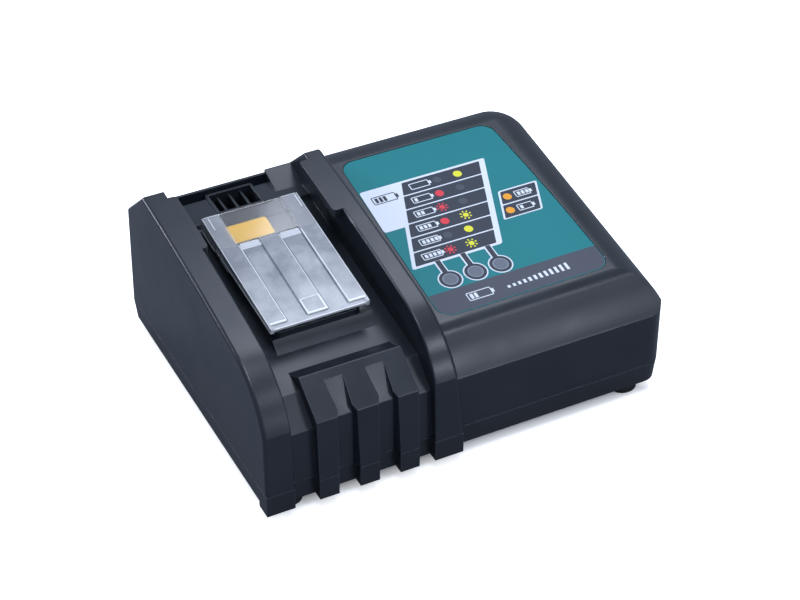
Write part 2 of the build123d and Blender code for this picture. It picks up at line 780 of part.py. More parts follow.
with BuildPart() as lower_housing:
    with BuildSketch(Plane.XY.offset(seam_height)) as tray_plan:
        with Locations((0, (groove_back + rear) / 2)):
            Rectangle(width, rear - groove_back)
        fillet(tray_plan.vertices().group_by(Axis.X)[0].sort_by(Axis.Y)[-1], edge_radius)
        fillet(tray_plan.vertices().group_by(Axis.X)[-1].sort_by(Axis.Y)[-1], corner_radius)
        fillet(tray_plan.vertices().group_by(Axis.X)[-1].sort_by(Axis.Y)[0], front_corner_radius)
    extrude(amount=-(seam_height - foot_height), taper=tray_taper)
    # Feet of the rails and of the front blocks carry on down to the tray's underside
    with BuildSketch(Plane.XY.offset(foot_height)):
        with Locations(((left + bay_left) / 2, front + groove_depth)):
            Rectangle(bay_left - left, 2 * groove_depth)
        with Locations(((bay_right + ridge_right) / 2, front + groove_depth)):
            Rectangle(ridge_width, 2 * groove_depth)
        for i in range(block_count):
            with Locations((block_place(i), front + groove_depth)):
                Rectangle(block_width, 2 * groove_depth)
    extrude(amount=seam_height - foot_height)
    # The rim stands back by a small step, so that the parting line shows as a fine groove
    rim = lower_housing.faces().sort_by(Axis.Z)[-1].outer_wire()
    extrude(Face(rim), amount=seam_step, dir=(0, 0, -1), mode=Mode.SUBTRACT)
    extrude(Face(rim.offset_2d(-seam_step, kind=Kind.INTERSECTION)), amount=seam_step, dir=(0, 0, -1))
    # The room inside
    with BuildSketch(Plane.XY.offset(seam_height)) as tray_room:
        with Locations((0, (groove_back + rear) / 2)):
            Rectangle(width - 2 * wall, rear - groove_back - 2 * wall)
        fillet(tray_room.vertices().group_by(Axis.X)[-1].sort_by(Axis.Y)[-1], corner_radius - wall)
        fillet(tray_room.vertices().group_by(Axis.X)[-1].sort_by(Axis.Y)[0], front_corner_radius - wall)
    extrude(amount=-(seam_height - tray_floor), taper=tray_taper, mode=Mode.SUBTRACT)
    # Posts under the fan and standoffs under the board
    with BuildSketch(Plane.XY.offset(tray_floor)):
        with Locations(*fan_corners):
            Circle(3)
    extrude(amount=fan_floor - tray_floor)
    with BuildSketch(Plane.XY.offset(fan_floor)):
        with Locations(*fan_corners):
            Circle(fan_hole / 2 - 0.2)
    extrude(amount=4)
    with BuildSketch(Plane.XY.offset(tray_floor)):
        with Locations(*board_holes):
            Circle(3)
    extrude(amount=board_height - tray_floor)
    with BuildSketch(Plane.XY.offset(board_height)):
        with Locations(*board_holes):
            Circle(1.35)
    extrude(amount=-7, mode=Mode.SUBTRACT)
    # Screw tubes, counterbored from below
    with BuildSketch(Plane.XY.offset(foot_height + 1)):
        with Locations(*screw_places):
            Circle(screw_head / 2 + 1.6)
    extrude(amount=seam_height - foot_height - 1)
    with BuildSketch(Plane.XY.offset(foot_height)):
        with Locations(*screw_places):
            Circle(screw_head / 2 + seat_gap)
    extrude(amount=screw_seat - foot_height, mode=Mode.SUBTRACT)
    with BuildSketch(Plane.XY.offset(foot_height)):
        with Locations(*screw_places):
            Circle(screw_shank / 2 + seat_gap)
    extrude(amount=seam_height, mode=Mode.SUBTRACT)
    # Seats for the feet
    with BuildSketch(Plane.XY.offset(foot_height)):
        with Locations(*foot_places):
            Circle(foot_diameter / 2 + seat_gap)
    extrude(amount=foot_seat_depth, mode=Mode.SUBTRACT)
    with BuildSketch(Plane.XY.offset(foot_height)):
        with Locations(*foot_places):
            Circle(foot_stem / 2 + seat_gap)
    extrude(amount=2 * wall, mode=Mode.SUBTRACT)
    # Air inlet under the fan, and vents under the heat sinks
    with BuildSketch(Plane.XY.offset(foot_height - 1)):
        for i in range(inlet_slots):
            with Locations((bay_centre + (i - (inlet_slots - 1) / 2) * inlet_pitch, fan_y)):
                SlotOverall(inlet_length(i), vent_width, rotation=90)
        with Locations((transformer_x, transformer_y)):
            with GridLocations(2 * inlet_pitch, 0, vent_count, 1):
                SlotOverall(vent_length, vent_width, rotation=90)
    extrude(amount=2 * wall, mode=Mode.SUBTRACT)
finish(lower_housing, "lower_housing")


# ---------------------------------------------------------------- terminal cover and its springs
with BuildPart() as terminal_cover:
    with BuildSketch(slide_side.offset(-cover_width / 2)):
        with BuildLine():
            Polyline(
                (cover_front, 0),
                (cover_rear, 0),
                (cover_rear, -cover_skirt_rear),
                (hook_front, -cover_skirt_rear),
                (hook_front - cover_skirt_notch, -cover_skirt_middle),
                (cover_front, -cover_skirt_front),
                (cover_front, 0),
            )
        make_face()
    extrude(amount=cover_width)
    with BuildSketch(slide_plane.offset(-cover_plate)):
        Rectangle(cover_width - 2 * cover_plate, 4 * cover_rear)
    extrude(amount=-2 * cover_skirt_rear, mode=Mode.SUBTRACT)
    long_edges = terminal_cover.edges().filter_by(lambda edge: edge.length > cover_rear)
    fillet(long_edges.sort_by(Axis.Z)[-2:], 0.7)
    # Two sunk channels over the blades, and the front strip that they run out into
    channel_length = channel_rear - cover_front
    channel_middle = (cover_front + channel_rear) / 2
    with BuildSketch(slide_plane):
        for side in (-1, 1):
            with Locations((side * blade_spacing / 2, channel_middle)):
                Rectangle(channel_width, channel_length)
        with Locations((0, cover_front + cover_lip / 2)):
            Rectangle(cover_width - 2 * cover_plate, cover_lip)
    extrude(amount=-cover_step, mode=Mode.SUBTRACT)
    # Ribs under the channels' edges
    with BuildSketch(slide_plane.offset(-cover_plate)):
        for side in (-1, 1):
            for edge in (-1, 1):
                with Locations((side * blade_spacing / 2 + edge * channel_width / 2, channel_middle)):
                    Rectangle(cover_rib_thickness, channel_length - 2 * cover_lip)
        with Locations((0, channel_rear + cover_rib_thickness)):
            Rectangle(blade_spacing + channel_width + cover_rib_thickness, cover_rib_thickness)
    extrude(amount=-cover_rib_height)
    # Tongues that push the springs
    with BuildSketch(slide_plane.offset(-cover_plate)):
        for side in (-1, 1):
            with Locations((side * spring_offset, spring_rear - spring_length - spring_seat / 2)):
                Rectangle(spring_diameter + 1, spring_seat)
    extrude(amount=-(platform_drop - cover_plate - running_gap))
    # Hooks that run in the platform's side grooves
    hook_middle = cover_rear - hook_length / 2 - spring_seat
    with BuildSketch(slide_plane.offset(-hook_top)):
        for side in (-1, 1):
            with Locations((side * (cover_width - cover_plate - hook_reach) / 2, hook_middle)):
                Rectangle(cover_plate + hook_reach, hook_length)
    extrude(amount=-hook_height)
finish(terminal_cover, "terminal_cover")


def cover_spring(side, name):
    """One return spring, as a tube of its outer size; it is wound from wire."""
    with BuildPart() as spring:
        with BuildSketch(spring_plane):
            with Locations((side * spring_offset, spring_axis_drop)):
                Circle(spring_diameter / 2)
                Circle(spring_diameter / 2 - spring_wire, mode=Mode.SUBTRACT)
        extrude(amount=spring_length)
    finish(spring, name)


cover_spring(-1, "left_cover_spring")
cover_spring(1, "right_cover_spring")


# ---------------------------------------------------------------- terminals
with BuildPart() as terminal_block:
    with BuildSketch(slide_plane.offset(-block_top)):
        with Locations((0, block_front + block_length / 2)):
            Rectangle(block_top_width - 2 * seat_gap, block_length - 2 * seat_gap)
    extrude(amount=-block_depth)
    with BuildSketch(slide_plane.offset(-block_top - block_depth)):
        with Locations((0, block_front + block_length / 2)):
            Rectangle(block_top_width + 2 * block_flange, block_length - 2 * seat_gap)
    extrude(amount=block_depth - (platform_drop + wall + seat_gap - block_top))
    with BuildSketch(slide_plane.offset(-block_top)):
        for side in (-1, 1):
            with Locations((side * blade_spacing / 2, blade_front + blade_length / 2)):
                SlotOverall(blade_length + 6, trench_width, rotation=90)
    extrude(amount=-trench_depth, mode=Mode.SUBTRACT)
    with BuildSketch(slide_plane.offset(-block_top)):
        with Locations((connector_offset, connector_front + connector_depth / 2)):
            Rectangle(connector_width + 2 * seat_gap, connector_depth + 2 * seat_gap)
    extrude(amount=-trench_depth, mode=Mode.SUBTRACT)
finish(terminal_block, "terminal_block")


def terminal_blade(side, name):
    """One upright blade with a nose that leads the pack's contact on."""
    with BuildPart() as blade:
        with BuildSketch(slide_side.offset(side * blade_spacing / 2 - blade_thickness / 2)) as outline:
            with Locations((blade_front + blade_length / 2, -(blade_top + block_top + trench_depth) / 2)):
                Rectangle(blade_length, block_top + trench_depth - blade_top)
            fillet(outline.vertices().group_by(Axis.X)[0].sort_by(Axis.Y)[-1], blade_nose)
        extrude(amount=blade_thickness)
        chamfer(blade.faces().sort_by(Axis.Y)[0].edges().filter_by(Axis.X, reverse=True), blade_lead)
    finish(blade, name)


terminal_blade(-1, "negative_blade")
terminal_blade(1, "positive_blade")

with BuildPart() as signal_connector:
    with BuildSketch(slide_plane.offset(-connector_top)) as shell:
        with Locations((connector_offset, connector_front + connector_depth / 2)):
            Rectangle(connector_width, connector_depth)
        fillet(shell.vertices(), 1.0)
    extrude(amount=-(block_top + trench_depth - connector_top))
    # Slots for the pins, open to the front
    with BuildSketch(slide_plane.offset(-connector_top - connector_roof)):
        for i in range(pin_count):
            with Locations((pin_place(i), connector_front + 4)):
                Rectangle(1.5, 8.2)
    extrude(amount=-(pin_foot - connector_top - connector_roof), mode=Mode.SUBTRACT)
finish(signal_connector, "signal_connector")

with BuildPart() as signal_pins:
    pin_top = connector_top + connector_roof + seat_gap
    with BuildSketch(slide_plane.offset(-pin_top)):
        for i in range(pin_count):
            with Locations((pin_place(i), connector_front + 4.2)):
                Rectangle(0.6, 6.8)
    extrude(amount=-(pin_foot - pin_top))
finish(signal_pins, "signal_pins")


# ---------------------------------------------------------------- fan and air duct
with BuildPart() as fan_frame:
    with BuildSketch(Plane.XY.offset(fan_floor)) as frame_plan:
        with Locations((bay_centre, fan_y)):
            RectangleRounded(fan_size, fan_size, 3)
            Circle(fan_bore / 2, mode=Mode.SUBTRACT)
    extrude(amount=fan_thickness)
    with BuildSketch(Plane.XY.offset(fan_floor + 3)):
        with Locations((bay_centre, fan_y)):
            RectangleRounded(fan_size + 2, fan_size + 2, 3)
            Circle(fan_size / 2 - 0.2, mode=Mode.SUBTRACT)
    extrude(amount=fan_thickness - 6, mode=Mode.SUBTRACT)
    with BuildSketch(Plane.XY.offset(fan_floor)):
        with Locations(*fan_corners):
            Circle(fan_hole / 2)
    extrude(amount=fan_thickness, mode=Mode.SUBTRACT)
    # Hub plate, its struts and the bearing tube
    with BuildSketch(Plane.XY.offset(fan_floor)):
        with Locations((bay_centre, fan_y)):
            Circle(fan_hub / 2)
            with PolarLocations(fan_bore / 4, 3, 30):
                Rectangle(fan_bore / 2 + 1, 2.4)
    extrude(amount=2)
    with BuildSketch(Plane.XY.offset(fan_floor)):
        with Locations((bay_centre, fan_y)):
            Circle(3)
    extrude(amount=9)
    with BuildSketch(Plane.XY.offset(fan_floor + 1)):
        with Locations((bay_centre, fan_y)):
            Circle(1.05)
    extrude(amount=9, mode=Mode.SUBTRACT)
finish(fan_frame, "fan_frame")

with BuildPart() as fan_blade:
    for radius, pitch in ((fan_hub / 2 - 0.4, 48), (fan_bore / 2 - 0.7, 28)):
        with BuildSketch(Plane.YZ.offset(radius)):
            with Locations((0, fan_floor + fan_thickness / 2 + 1)):
                SlotOverall(0.75 * fan_thickness, 1.0, rotation=pitch)
    loft()

with BuildPart() as fan_impeller:
    with BuildSketch(Plane.XY.offset(fan_floor + 2.6)):
        Circle(fan_hub / 2)
    extrude(amount=fan_thickness - 4)
    fillet(fan_impeller.edges().sort_by(Axis.Z)[-1], 1)
    with BuildSketch(Plane.XY.offset(fan_floor + 2)):
        Circle(fan_hub / 2 - 1.2)
    extrude(amount=fan_thickness - 5, mode=Mode.SUBTRACT)
    with PolarLocations(0, fan_blades):
        add(fan_blade.part)
    with BuildSketch(Plane.XY.offset(fan_floor + 2)):
        Circle(fan_hub / 2 - 1.2)
    extrude(amount=fan_thickness - 5, mode=Mode.SUBTRACT)
    with BuildSketch(Plane.XY.offset(fan_floor)):
        Circle(1.0)
    extrude(amount=fan_thickness + 2, mode=Mode.SUBTRACT)
fan_impeller.part = fan_impeller.part.moved(Location((bay_centre, fan_y, 0)))
finish(fan_impeller, "fan_impeller")

with BuildPart() as fan_axle:
    with BuildSketch(Plane.XY.offset(fan_floor + 1.2)):
        with Locations((bay_centre, fan_y)):
            Circle(1.0)
    extrude(amount=fan_thickness - 2.2)
finish(fan_axle, "fan_axle")

with BuildPart() as air_duct:
    for shrink, mode in ((0, Mode.ADD), (duct_wall, Mode.SUBTRACT)):
        with BuildSketch(Plane.XY.offset(duct_floor - 0.01 * shrink)):
            with Locations((bay_centre, fan_y)):
                RectangleRounded(fan_size - 2 * shrink, fan_size - 2 * shrink, 3)
        with BuildSketch(Plane.XY.offset(duct_neck)):
            with Locations((duct_x, duct_mouth_centre_y)):
                RectangleRounded(duct_mouth_x - 2 * shrink, duct_mouth_y - 2 * shrink, 0.8)
        loft(mode=mode)
        with BuildSketch(Plane.XY.offset(duct_neck - 0.01)):
            with Locations((duct_x, duct_mouth_centre_y)):
                RectangleRounded(duct_mouth_x - 2 * shrink, duct_mouth_y - 2 * shrink, 0.8)
        extrude(amount=shelf_height + seat_gap - duct_neck, mode=mode)
    with BuildSketch(Plane.XY.offset(duct_floor + duct_vane_rise)):
        with Locations((duct_x, duct_mouth_centre_y)):
            with GridLocations(duct_mouth_x / (duct_vanes + 1), 0, duct_vanes, 1):
                Rectangle(1.0, duct_mouth_y - duct_wall)
    extrude(amount=shelf_height - duct_vane_drop - duct_floor - duct_vane_rise)
finish(air_duct, "air_duct")


# ---------------------------------------------------------------- main board and what stands on it
def on_board(x, y, lift=0.0):
    """Plane on the board's top face, centred at a place on it."""
    return Plane.XY.offset(board_top + lift).shift_origin((x, y, board_top + lift))


def cans(places, diameter, tall, name):
    """Upright capacitor cans, bevelled at both ends."""
    with BuildPart() as group:
        for place in places:
            with BuildSketch(on_board(*place)):
                Circle(diameter / 2)
            extrude(amount=tall)
        chamfer(group.edges().filter_by(GeomType.CIRCLE), diameter / 16)
    finish(group, name)


with BuildPart() as main_board:
    with BuildSketch(Plane.XY.offset(board_height)):
        with Locations(((board_left + board_right) / 2, (board_front + board_rear) / 2)):
            Rectangle(board_right - board_left, board_rear - board_front)
        with Locations(((board_left + board_notch_x) / 2 - 1, (board_notch_y + board_rear) / 2 + 1)):
            Rectangle(board_notch_x - board_left + 2, board_rear - board_notch_y + 2, mode=Mode.SUBTRACT)
        with Locations(*board_holes):
            Circle(1.7, mode=Mode.SUBTRACT)
    extrude(amount=board_thickness)
finish(main_board, "main_board")

with BuildPart() as board_screws:
    with BuildSketch(Plane.XY.offset(board_top)):
        with Locations(*board_holes):
            Circle(2.8)
    extrude(amount=1.8)
    with BuildSketch(Plane.XY.offset(board_top)):
        with Locations(*board_holes):
            Circle(1.3)
    extrude(amount=-6)
finish(board_screws, "board_screws")

with BuildPart() as transformer_core:
    with BuildSketch(Plane.XZ.offset(-transformer_y - core_depth / 2)):
        with Locations((transformer_x, board_top + core_height / 2 + core_lift)):
            Rectangle(core_width, core_height)
            with Locations((core_window_x, 0), (-core_window_x, 0)):
                Rectangle(core_window, core_height - 2 * core_leg / 2, mode=Mode.SUBTRACT)
    extrude(amount=core_depth)
    fillet(transformer_core.edges().filter_by(Axis.Y).group_by(Axis.Z)[-1], 0.8)
finish(transformer_core, "transformer_core")

with BuildPart() as transformer_winding:
    with BuildSketch(Plane.XY.offset(board_top + core_lift + core_leg / 2 + seat_gap)):
        with Locations((transformer_x, transformer_y)):
            RectangleRounded(core_leg + 2 * core_window - 2 * seat_gap, core_depth + 2 * core_window, 5)
            Rectangle(core_leg + 2 * seat_gap, core_depth + 2 * seat_gap, mode=Mode.SUBTRACT)
    extrude(amount=core_height - core_leg - 2 * seat_gap)
finish(transformer_winding, "transformer_winding")

cans([(right - bulk_inset, rear - bulk_ahead)], bulk_diameter, bulk_height, "bulk_capacitor")
output_can_places = [(output_can_x, output_can_y - i * 1.4 * output_can_diameter) for i in range(3)]
cans(output_can_places, output_can_diameter, output_can_height, "output_capacitors")


def heat_sink(x, y, length, tall, fin_side, name):
    """Upright comb section with its back flat for the transistors."""
    with BuildPart() as sink:
        with BuildSketch(on_board(x, y)):
            Rectangle(sink_back, length)
            with Locations((fin_side * (sink_back + sink_fin) / 2, 0)):
                with GridLocations(0, sink_pitch, 1, int(length / sink_pitch)):
                    Rectangle(sink_fin, sink_fin_thickness)
        extrude(amount=tall)
    finish(sink, name)


heat_sink(primary_sink_x, primary_sink_y, primary_sink_length, primary_sink_height, 1, "primary_heat_sink")
heat_sink(
    secondary_sink_x, secondary_sink_y, secondary_sink_length, secondary_sink_height, -1, "secondary_heat_sink"
)

with BuildPart() as power_transistors:
    for x, y, side in (
        (primary_sink_x, primary_sink_y - 12, -1),
        (primary_sink_x, primary_sink_y + 12, -1),
        (secondary_sink_x, secondary_sink_y, 1),
    ):
        with BuildSketch(on_board(x + side * (sink_back / 2 + 2.35), y, 5)):
            Rectangle(4.5, 10)
        extrude(amount=9.2)
        with BuildSketch(on_board(x + side * (sink_back / 2 + 0.75), y, 14)):
            Rectangle(1.3, 10)
        extrude(amount=6)
        with BuildSketch(on_board(x + side * (sink_back / 2 + 2.6), y)):
            with GridLocations(0, 2.54, 1, 3):
                Rectangle(0.6, 0.8)
        extrude(amount=5.2)
finish(power_transistors, "power_transistors")

with BuildPart() as mains_filter_capacitor:
    with BuildSketch(on_board(right - filter_inset, rear - filter_ahead)):
        Rectangle(filter_size[0], filter_size[1])
    extrude(amount=filter_size[2])
    fillet(mains_filter_capacitor.edges().filter_by(Axis.Z), 1)
finish(mains_filter_capacitor, "mains_filter_capacitor")

with BuildPart() as choke_core:
    with BuildSketch(on_board(choke_x, choke_y, winding_build + seat_gap)):
        Circle(choke_outer)
        Circle(choke_inner, mode=Mode.SUBTRACT)
    extrude(amount=choke_height)
finish(choke_core, "choke_core")

with BuildPart() as choke_winding:
    for start in (-60, 120):
        with BuildSketch(Plane.XZ) as turn:
            with Locations(((choke_outer + choke_inner) / 2, 0)):
                Rectangle(choke_outer - choke_inner + 2 * winding_build, choke_height + 2 * winding_build)
                Rectangle(choke_outer - choke_inner + 2 * seat_gap, choke_height + 2 * seat_gap, mode=Mode.SUBTRACT)
        revolve(turn.sketch.rotate(Axis.Z, start), axis=Axis.Z, revolution_arc=120)
winding_middle = board_top + winding_build + seat_gap + choke_height / 2
choke_winding.part = choke_winding.part.moved(Location((choke_x, choke_y, winding_middle)))
finish(choke_winding, "choke_winding")

with BuildPart() as fuse:
    with BuildSketch(Plane.XZ.offset(-fuse_y + fuse_length / 2)):
        with Locations((fuse_x, board_top + fuse_diameter)):
            Circle(fuse_diameter / 2)
    extrude(amount=-fuse_length)
finish(fuse, "fuse")

with BuildPart() as fuse_clips:
    for side in (-1, 1):
        with BuildSketch(Plane.XZ.offset(-fuse_y - side * fuse_clip_spacing / 2 + 2)):
            with Locations((fuse_x, board_top + 0.75 * fuse_diameter)):
                Rectangle(fuse_diameter + 1.4, 1.5 * fuse_diameter)
            with Locations((fuse_x, board_top + fuse_diameter)):
                Circle(fuse_diameter / 2 + seat_gap / 3, mode=Mode.SUBTRACT)
            with Locations((fuse_x, board_top + 1.5 * fuse_diameter)):
                Rectangle(fuse_diameter - 0.6, fuse_diameter, mode=Mode.SUBTRACT)
        extrude(amount=-4)
finish(fuse_clips, "fuse_clips")

with BuildPart() as sounder:
    with BuildSketch(on_board(bay_left + sounder_inset, front + sounder_back)):
        Circle(sounder_diameter / 2)
        Circle(1, mode=Mode.SUBTRACT)
    extrude(amount=sounder_height)
finish(sounder, "sounder")


# ---------------------------------------------------------------- indicators and label
indicator_plane = panel_plane.offset(-indicator_board_drop)

with BuildPart() as indicator_board:
    with BuildSketch(indicator_plane):
        with Locations((window_first + window_pitch, window_row)):
            Rectangle(indicator_board_x, indicator_board_y)
        with Locations(*indicator_posts()):
            Circle(1.5, mode=Mode.SUBTRACT)
    extrude(amount=-board_thickness)
finish(indicator_board, "indicator_board")

with BuildPart() as indicator_screws:
    with BuildSketch(indicator_plane.offset(-board_thickness)):
        with Locations(*indicator_posts()):
            Circle(2.4)
    extrude(amount=-1.6)
    with BuildSketch(indicator_plane.offset(-board_thickness)):
        with Locations(*indicator_posts()):
            Circle(1.1)
    extrude(amount=6)
finish(indicator_screws, "indicator_screws")

for place, lamp_name in zip(window_places(), ("red_lamp", "yellow_lamp", "amber_lamp")):
    with BuildPart() as lamp:
        with BuildSketch(indicator_plane):
            with Locations(place):
                Circle(lamp_diameter / 2)
        extrude(amount=indicator_board_drop - guide_bottom - seat_gap)
        chamfer(lamp.edges().sort_by(Axis.Z)[-1], 0.3 * lamp_diameter)
        with BuildSketch(indicator_plane):
            with Locations(place):
                Circle(0.58 * lamp_diameter)
        extrude(amount=1.0)
    finish(lamp, lamp_name)

with BuildPart() as light_guides:
    with BuildSketch(panel_plane.offset(-guide_bottom)):
        with Locations(*window_places()):
            Circle(window_diameter / 2 - 0.2)
    extrude(amount=guide_bottom - label_recess + label_thickness)
    with BuildSketch(panel_plane.offset(-wall - seat_gap)):
        with Locations(*window_places()):
            Circle(window_diameter / 2 + 1.2)
    extrude(amount=-1.2)
finish(light_guides, "light_guides")

with BuildPart() as display_label:
    with BuildSketch(panel_plane.offset(-label_recess)) as sheet:
        with BuildLine():
            draw_label()
        make_face()
        fillet(sheet.vertices(), label_corner)
        with Locations(*window_places()):
            Circle(window_diameter / 2, mode=Mode.SUBTRACT)
    extrude(amount=label_thickness)
finish(display_label, "display_label")


# ---------------------------------------------------------------- gland, feet and screws
with BuildPart() as cord_gland:
    for start, length, diameter in (
        (rear, gland_reach, gland_flange),
        (rear - 2 * wall, 2 * wall, gland_neck - 2 * running_gap / 3),
        (rear - 2 * wall - 2, 2, gland_neck + 2.4),
    ):
        with BuildSketch(Plane.XZ.offset(-start)):
            with Locations((gland_x, gland_height)):
                Circle(diameter / 2)
        extrude(amount=-length)
    with BuildSketch(Plane.XZ.offset(-rear + depth / 2)):
        with Locations((gland_x, gland_height)):
            Circle(cord_bore / 2)
    extrude(amount=-depth, mode=Mode.SUBTRACT)
finish(cord_gland, "cord_gland")

with BuildPart() as rubber_feet:
    with BuildSketch(Plane.XY):
        with Locations(*foot_places):
            Circle(foot_diameter / 2)
    extrude(amount=foot_height + foot_seat_depth - 0.05)
    chamfer(rubber_feet.edges().group_by(Axis.Z)[0], 0.8)
    with BuildSketch(Plane.XY.offset(foot_height)):
        with Locations(*foot_places):
            Circle(foot_stem / 2)
    extrude(amount=wall + 1)
finish(rubber_feet, "rubber_feet")

with BuildPart() as housing_screws:
    with BuildSketch(Plane.XY.offset(screw_seat)):
        with Locations(*screw_places):
            Circle(screw_head / 2)
    extrude(amount=-screw_head_height)
    with BuildSketch(Plane.XY.offset(screw_seat)):
        with Locations(*screw_places):
            Circle(screw_shank / 2)
    extrude(amount=screw_length)
    with BuildSketch(Plane.XY.offset(screw_seat - screw_head_height)):
        with Locations(*screw_places):
            Rectangle(3.6, 0.8)
            Rectangle(0.8, 3.6)
    extrude(amount=1.2, mode=Mode.SUBTRACT)
finish(housing_screws, "housing_screws")
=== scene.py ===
# %% [markdown]
# # A charger for slide-on tool batteries
# The charger is packed as exact solids, which come in here as a fixed frame. This lesson gives
# that frame its looks: a finish for every moulding and metal piece, and new pieces for what is
# too fine for the solids, such as the print on the panel and the wire of the springs.

import math

import bmesh
import bpy
from mathutils import Matrix, Vector


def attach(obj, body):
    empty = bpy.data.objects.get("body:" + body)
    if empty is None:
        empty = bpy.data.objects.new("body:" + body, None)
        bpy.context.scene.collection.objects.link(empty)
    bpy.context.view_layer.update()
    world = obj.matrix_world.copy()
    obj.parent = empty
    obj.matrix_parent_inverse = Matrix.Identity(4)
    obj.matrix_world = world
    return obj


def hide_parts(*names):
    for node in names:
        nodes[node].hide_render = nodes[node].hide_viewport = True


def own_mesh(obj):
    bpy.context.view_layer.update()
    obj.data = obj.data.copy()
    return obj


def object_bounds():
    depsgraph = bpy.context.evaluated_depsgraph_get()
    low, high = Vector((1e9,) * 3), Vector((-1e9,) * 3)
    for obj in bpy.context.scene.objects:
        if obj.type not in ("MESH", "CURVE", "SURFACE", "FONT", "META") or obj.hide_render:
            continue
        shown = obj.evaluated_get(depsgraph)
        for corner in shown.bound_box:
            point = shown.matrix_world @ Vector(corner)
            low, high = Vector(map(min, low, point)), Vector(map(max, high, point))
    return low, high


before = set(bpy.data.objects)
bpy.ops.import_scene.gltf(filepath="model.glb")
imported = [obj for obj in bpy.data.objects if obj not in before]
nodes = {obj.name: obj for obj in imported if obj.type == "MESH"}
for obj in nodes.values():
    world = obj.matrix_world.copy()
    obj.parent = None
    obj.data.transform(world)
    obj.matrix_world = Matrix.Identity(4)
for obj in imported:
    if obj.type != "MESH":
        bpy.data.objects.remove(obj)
cad_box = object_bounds()
print("nodes in the frame:", len(nodes))
print("lowest and highest corner, in metres:", [list(corner) for corner in cad_box])

# %% [markdown]
# ## Two slopes that carry the fine work
# The panel and the battery bay slope 7.2 degrees up to the rear. A place on either could be
# worked out in the object's own frame, but it is easier to give on the slope itself, in
# millimetres: across, along and above it. A matrix then turns such a place into metres in the
# object's frame.

# %% Slopes of the panel and of the bay
MM = 0.001
TILT = math.radians(7.2)
PANEL_HEIGHT = 66.5  # of the panel's slope, over the middle of the object's depth
BAY_HEIGHT = 69.8  # of the clear cover's top, at the same place
BAY_MIDDLE = -50.4  # across the object


def slope_matrix(x, z):
    """Matrix from millimetres on a slope, through a point over the middle line, to metres."""
    lean = Matrix.Rotation(TILT, 4, "X")
    return Matrix.Translation(Vector((x * MM, 0, z * MM))) @ lean @ Matrix.Scale(MM, 4)


PANEL = slope_matrix(0, PANEL_HEIGHT)
BAY = slope_matrix(BAY_MIDDLE, BAY_HEIGHT)
print("panel over the middle line, in metres:", tuple(PANEL @ Vector((0, 0, 0))))

# %% [markdown]
# ## Colours and shader nodes
# Colours are written as they look on a screen, in hex, and the renderer needs them linear. Shader
# nodes could each be added, set and linked in lines of their own, but one small function does all
# three in one go, so a finish reads as a short list of what it does.

# %% Colour and node helpers
COLOUR_A, COLOUR_B, MIXED = 6, 7, 2  # a Mix node's two colour inputs, and its colour output


def linear(hex_colour):
    """Screen colour such as #2f8f93 as linear red, green, blue and alpha."""
    screen = [int(hex_colour[i : i + 2], 16) / 255 for i in (1, 3, 5)]
    light = [s / 12.92 if s <= 0.04045 else ((s + 0.055) / 1.055) ** 2.4 for s in screen]
    return (*light, 1.0)


def add(tree, kind, settings=None, links=None):
    """Add one node. settings are options or socket values, links its inputs by name or number."""
    node = tree.nodes.new(kind)
    for key, value in (settings or {}).items():
        if isinstance(key, str) and hasattr(node, key):
            setattr(node, key, value)
        else:
            node.inputs[key].default_value = value
    for key, source in (links or {}).items():
        tree.links.new(source, node.inputs[key])
    return node


def start_material(name, settings):
    """New material with one Principled shader, and its tree, shader and Object coordinates."""
    material = bpy.data.materials.new(name)
    material.use_nodes = True
    tree = material.node_tree
    tree.nodes.clear()
    shader = add(tree, "ShaderNodeBsdfPrincipled", settings)
    add(tree, "ShaderNodeOutputMaterial", links={"Surface": shader.outputs[0]})
    place = add(tree, "ShaderNodeTexCoord").outputs["Object"]
    return material, tree, shader, place


def give(material, *names):
    """Put a material on CAD nodes, in place of what they had."""
    for name in names:
        data = nodes[name].data
        data.materials.clear()
        data.materials.append(material)
    print(material.name, "on:", ", ".join(names))


# %% [markdown]
# ## New pieces
# The print, the cover's marks and the skirt's edges are all flat shapes with a little height.
# They could be cut into the solids, but there they would cost thousands of faces. Here each is
# drawn on one of the two slopes and lifted into a slab. Each piece then rides with one of the
# charger's bodies.

# %% Piece helpers
CORNER_STEPS = 4
DISC_SIDES = 32


def new_piece(name, mesh, place, material, body="charger"):
    """Turn a drawn mesh into a piece: closed, normals outward, in its place, riding with a body."""
    bmesh.ops.recalc_face_normals(mesh, faces=mesh.faces)
    mesh.transform(place)
    data = bpy.data.meshes.new(name)
    mesh.to_mesh(data)
    mesh.free()
    data.materials.append(material)
    piece = bpy.data.objects.new(name, data)
    bpy.context.scene.collection.objects.link(piece)
    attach(piece, body)
    print(name, "faces:", len(data.polygons))
    return piece


def lift(mesh, faces, rise):
    """Make a closed slab of flat faces, by extruding them upwards."""
    lifted = bmesh.ops.extrude_face_region(mesh, geom=faces)
    top = [item for item in lifted["geom"] if isinstance(item, bmesh.types.BMVert)]
    bmesh.ops.translate(mesh, verts=top, vec=(0, 0, rise))


def slab(mesh, outline, heights, corner=0.0):
    """Flat slab with a given outline, between two heights, its upright corners rounded."""
    low, high = heights
    others = set(mesh.faces)
    ground = [mesh.verts.new((x, y, low)) for x, y in outline]
    mesh.faces.new(ground)
    if corner:
        bmesh.ops.bevel(
            mesh,
            geom=ground,
            offset=corner,
            affect="VERTICES",
            segments=CORNER_STEPS,
            profile=0.5,
            material=-1,
        )
    lift(mesh, [face for face in mesh.faces if face not in others], high - low)


def disc(mesh, x, y, radius, heights):
    """Round slab."""
    low, high = heights
    ring = bmesh.ops.create_circle(
        mesh,
        cap_ends=True,
        radius=radius,
        segments=DISC_SIDES,
        matrix=Matrix.Translation((x, y, low)),
    )
    lift(mesh, ring["verts"][0].link_faces[:], high - low)


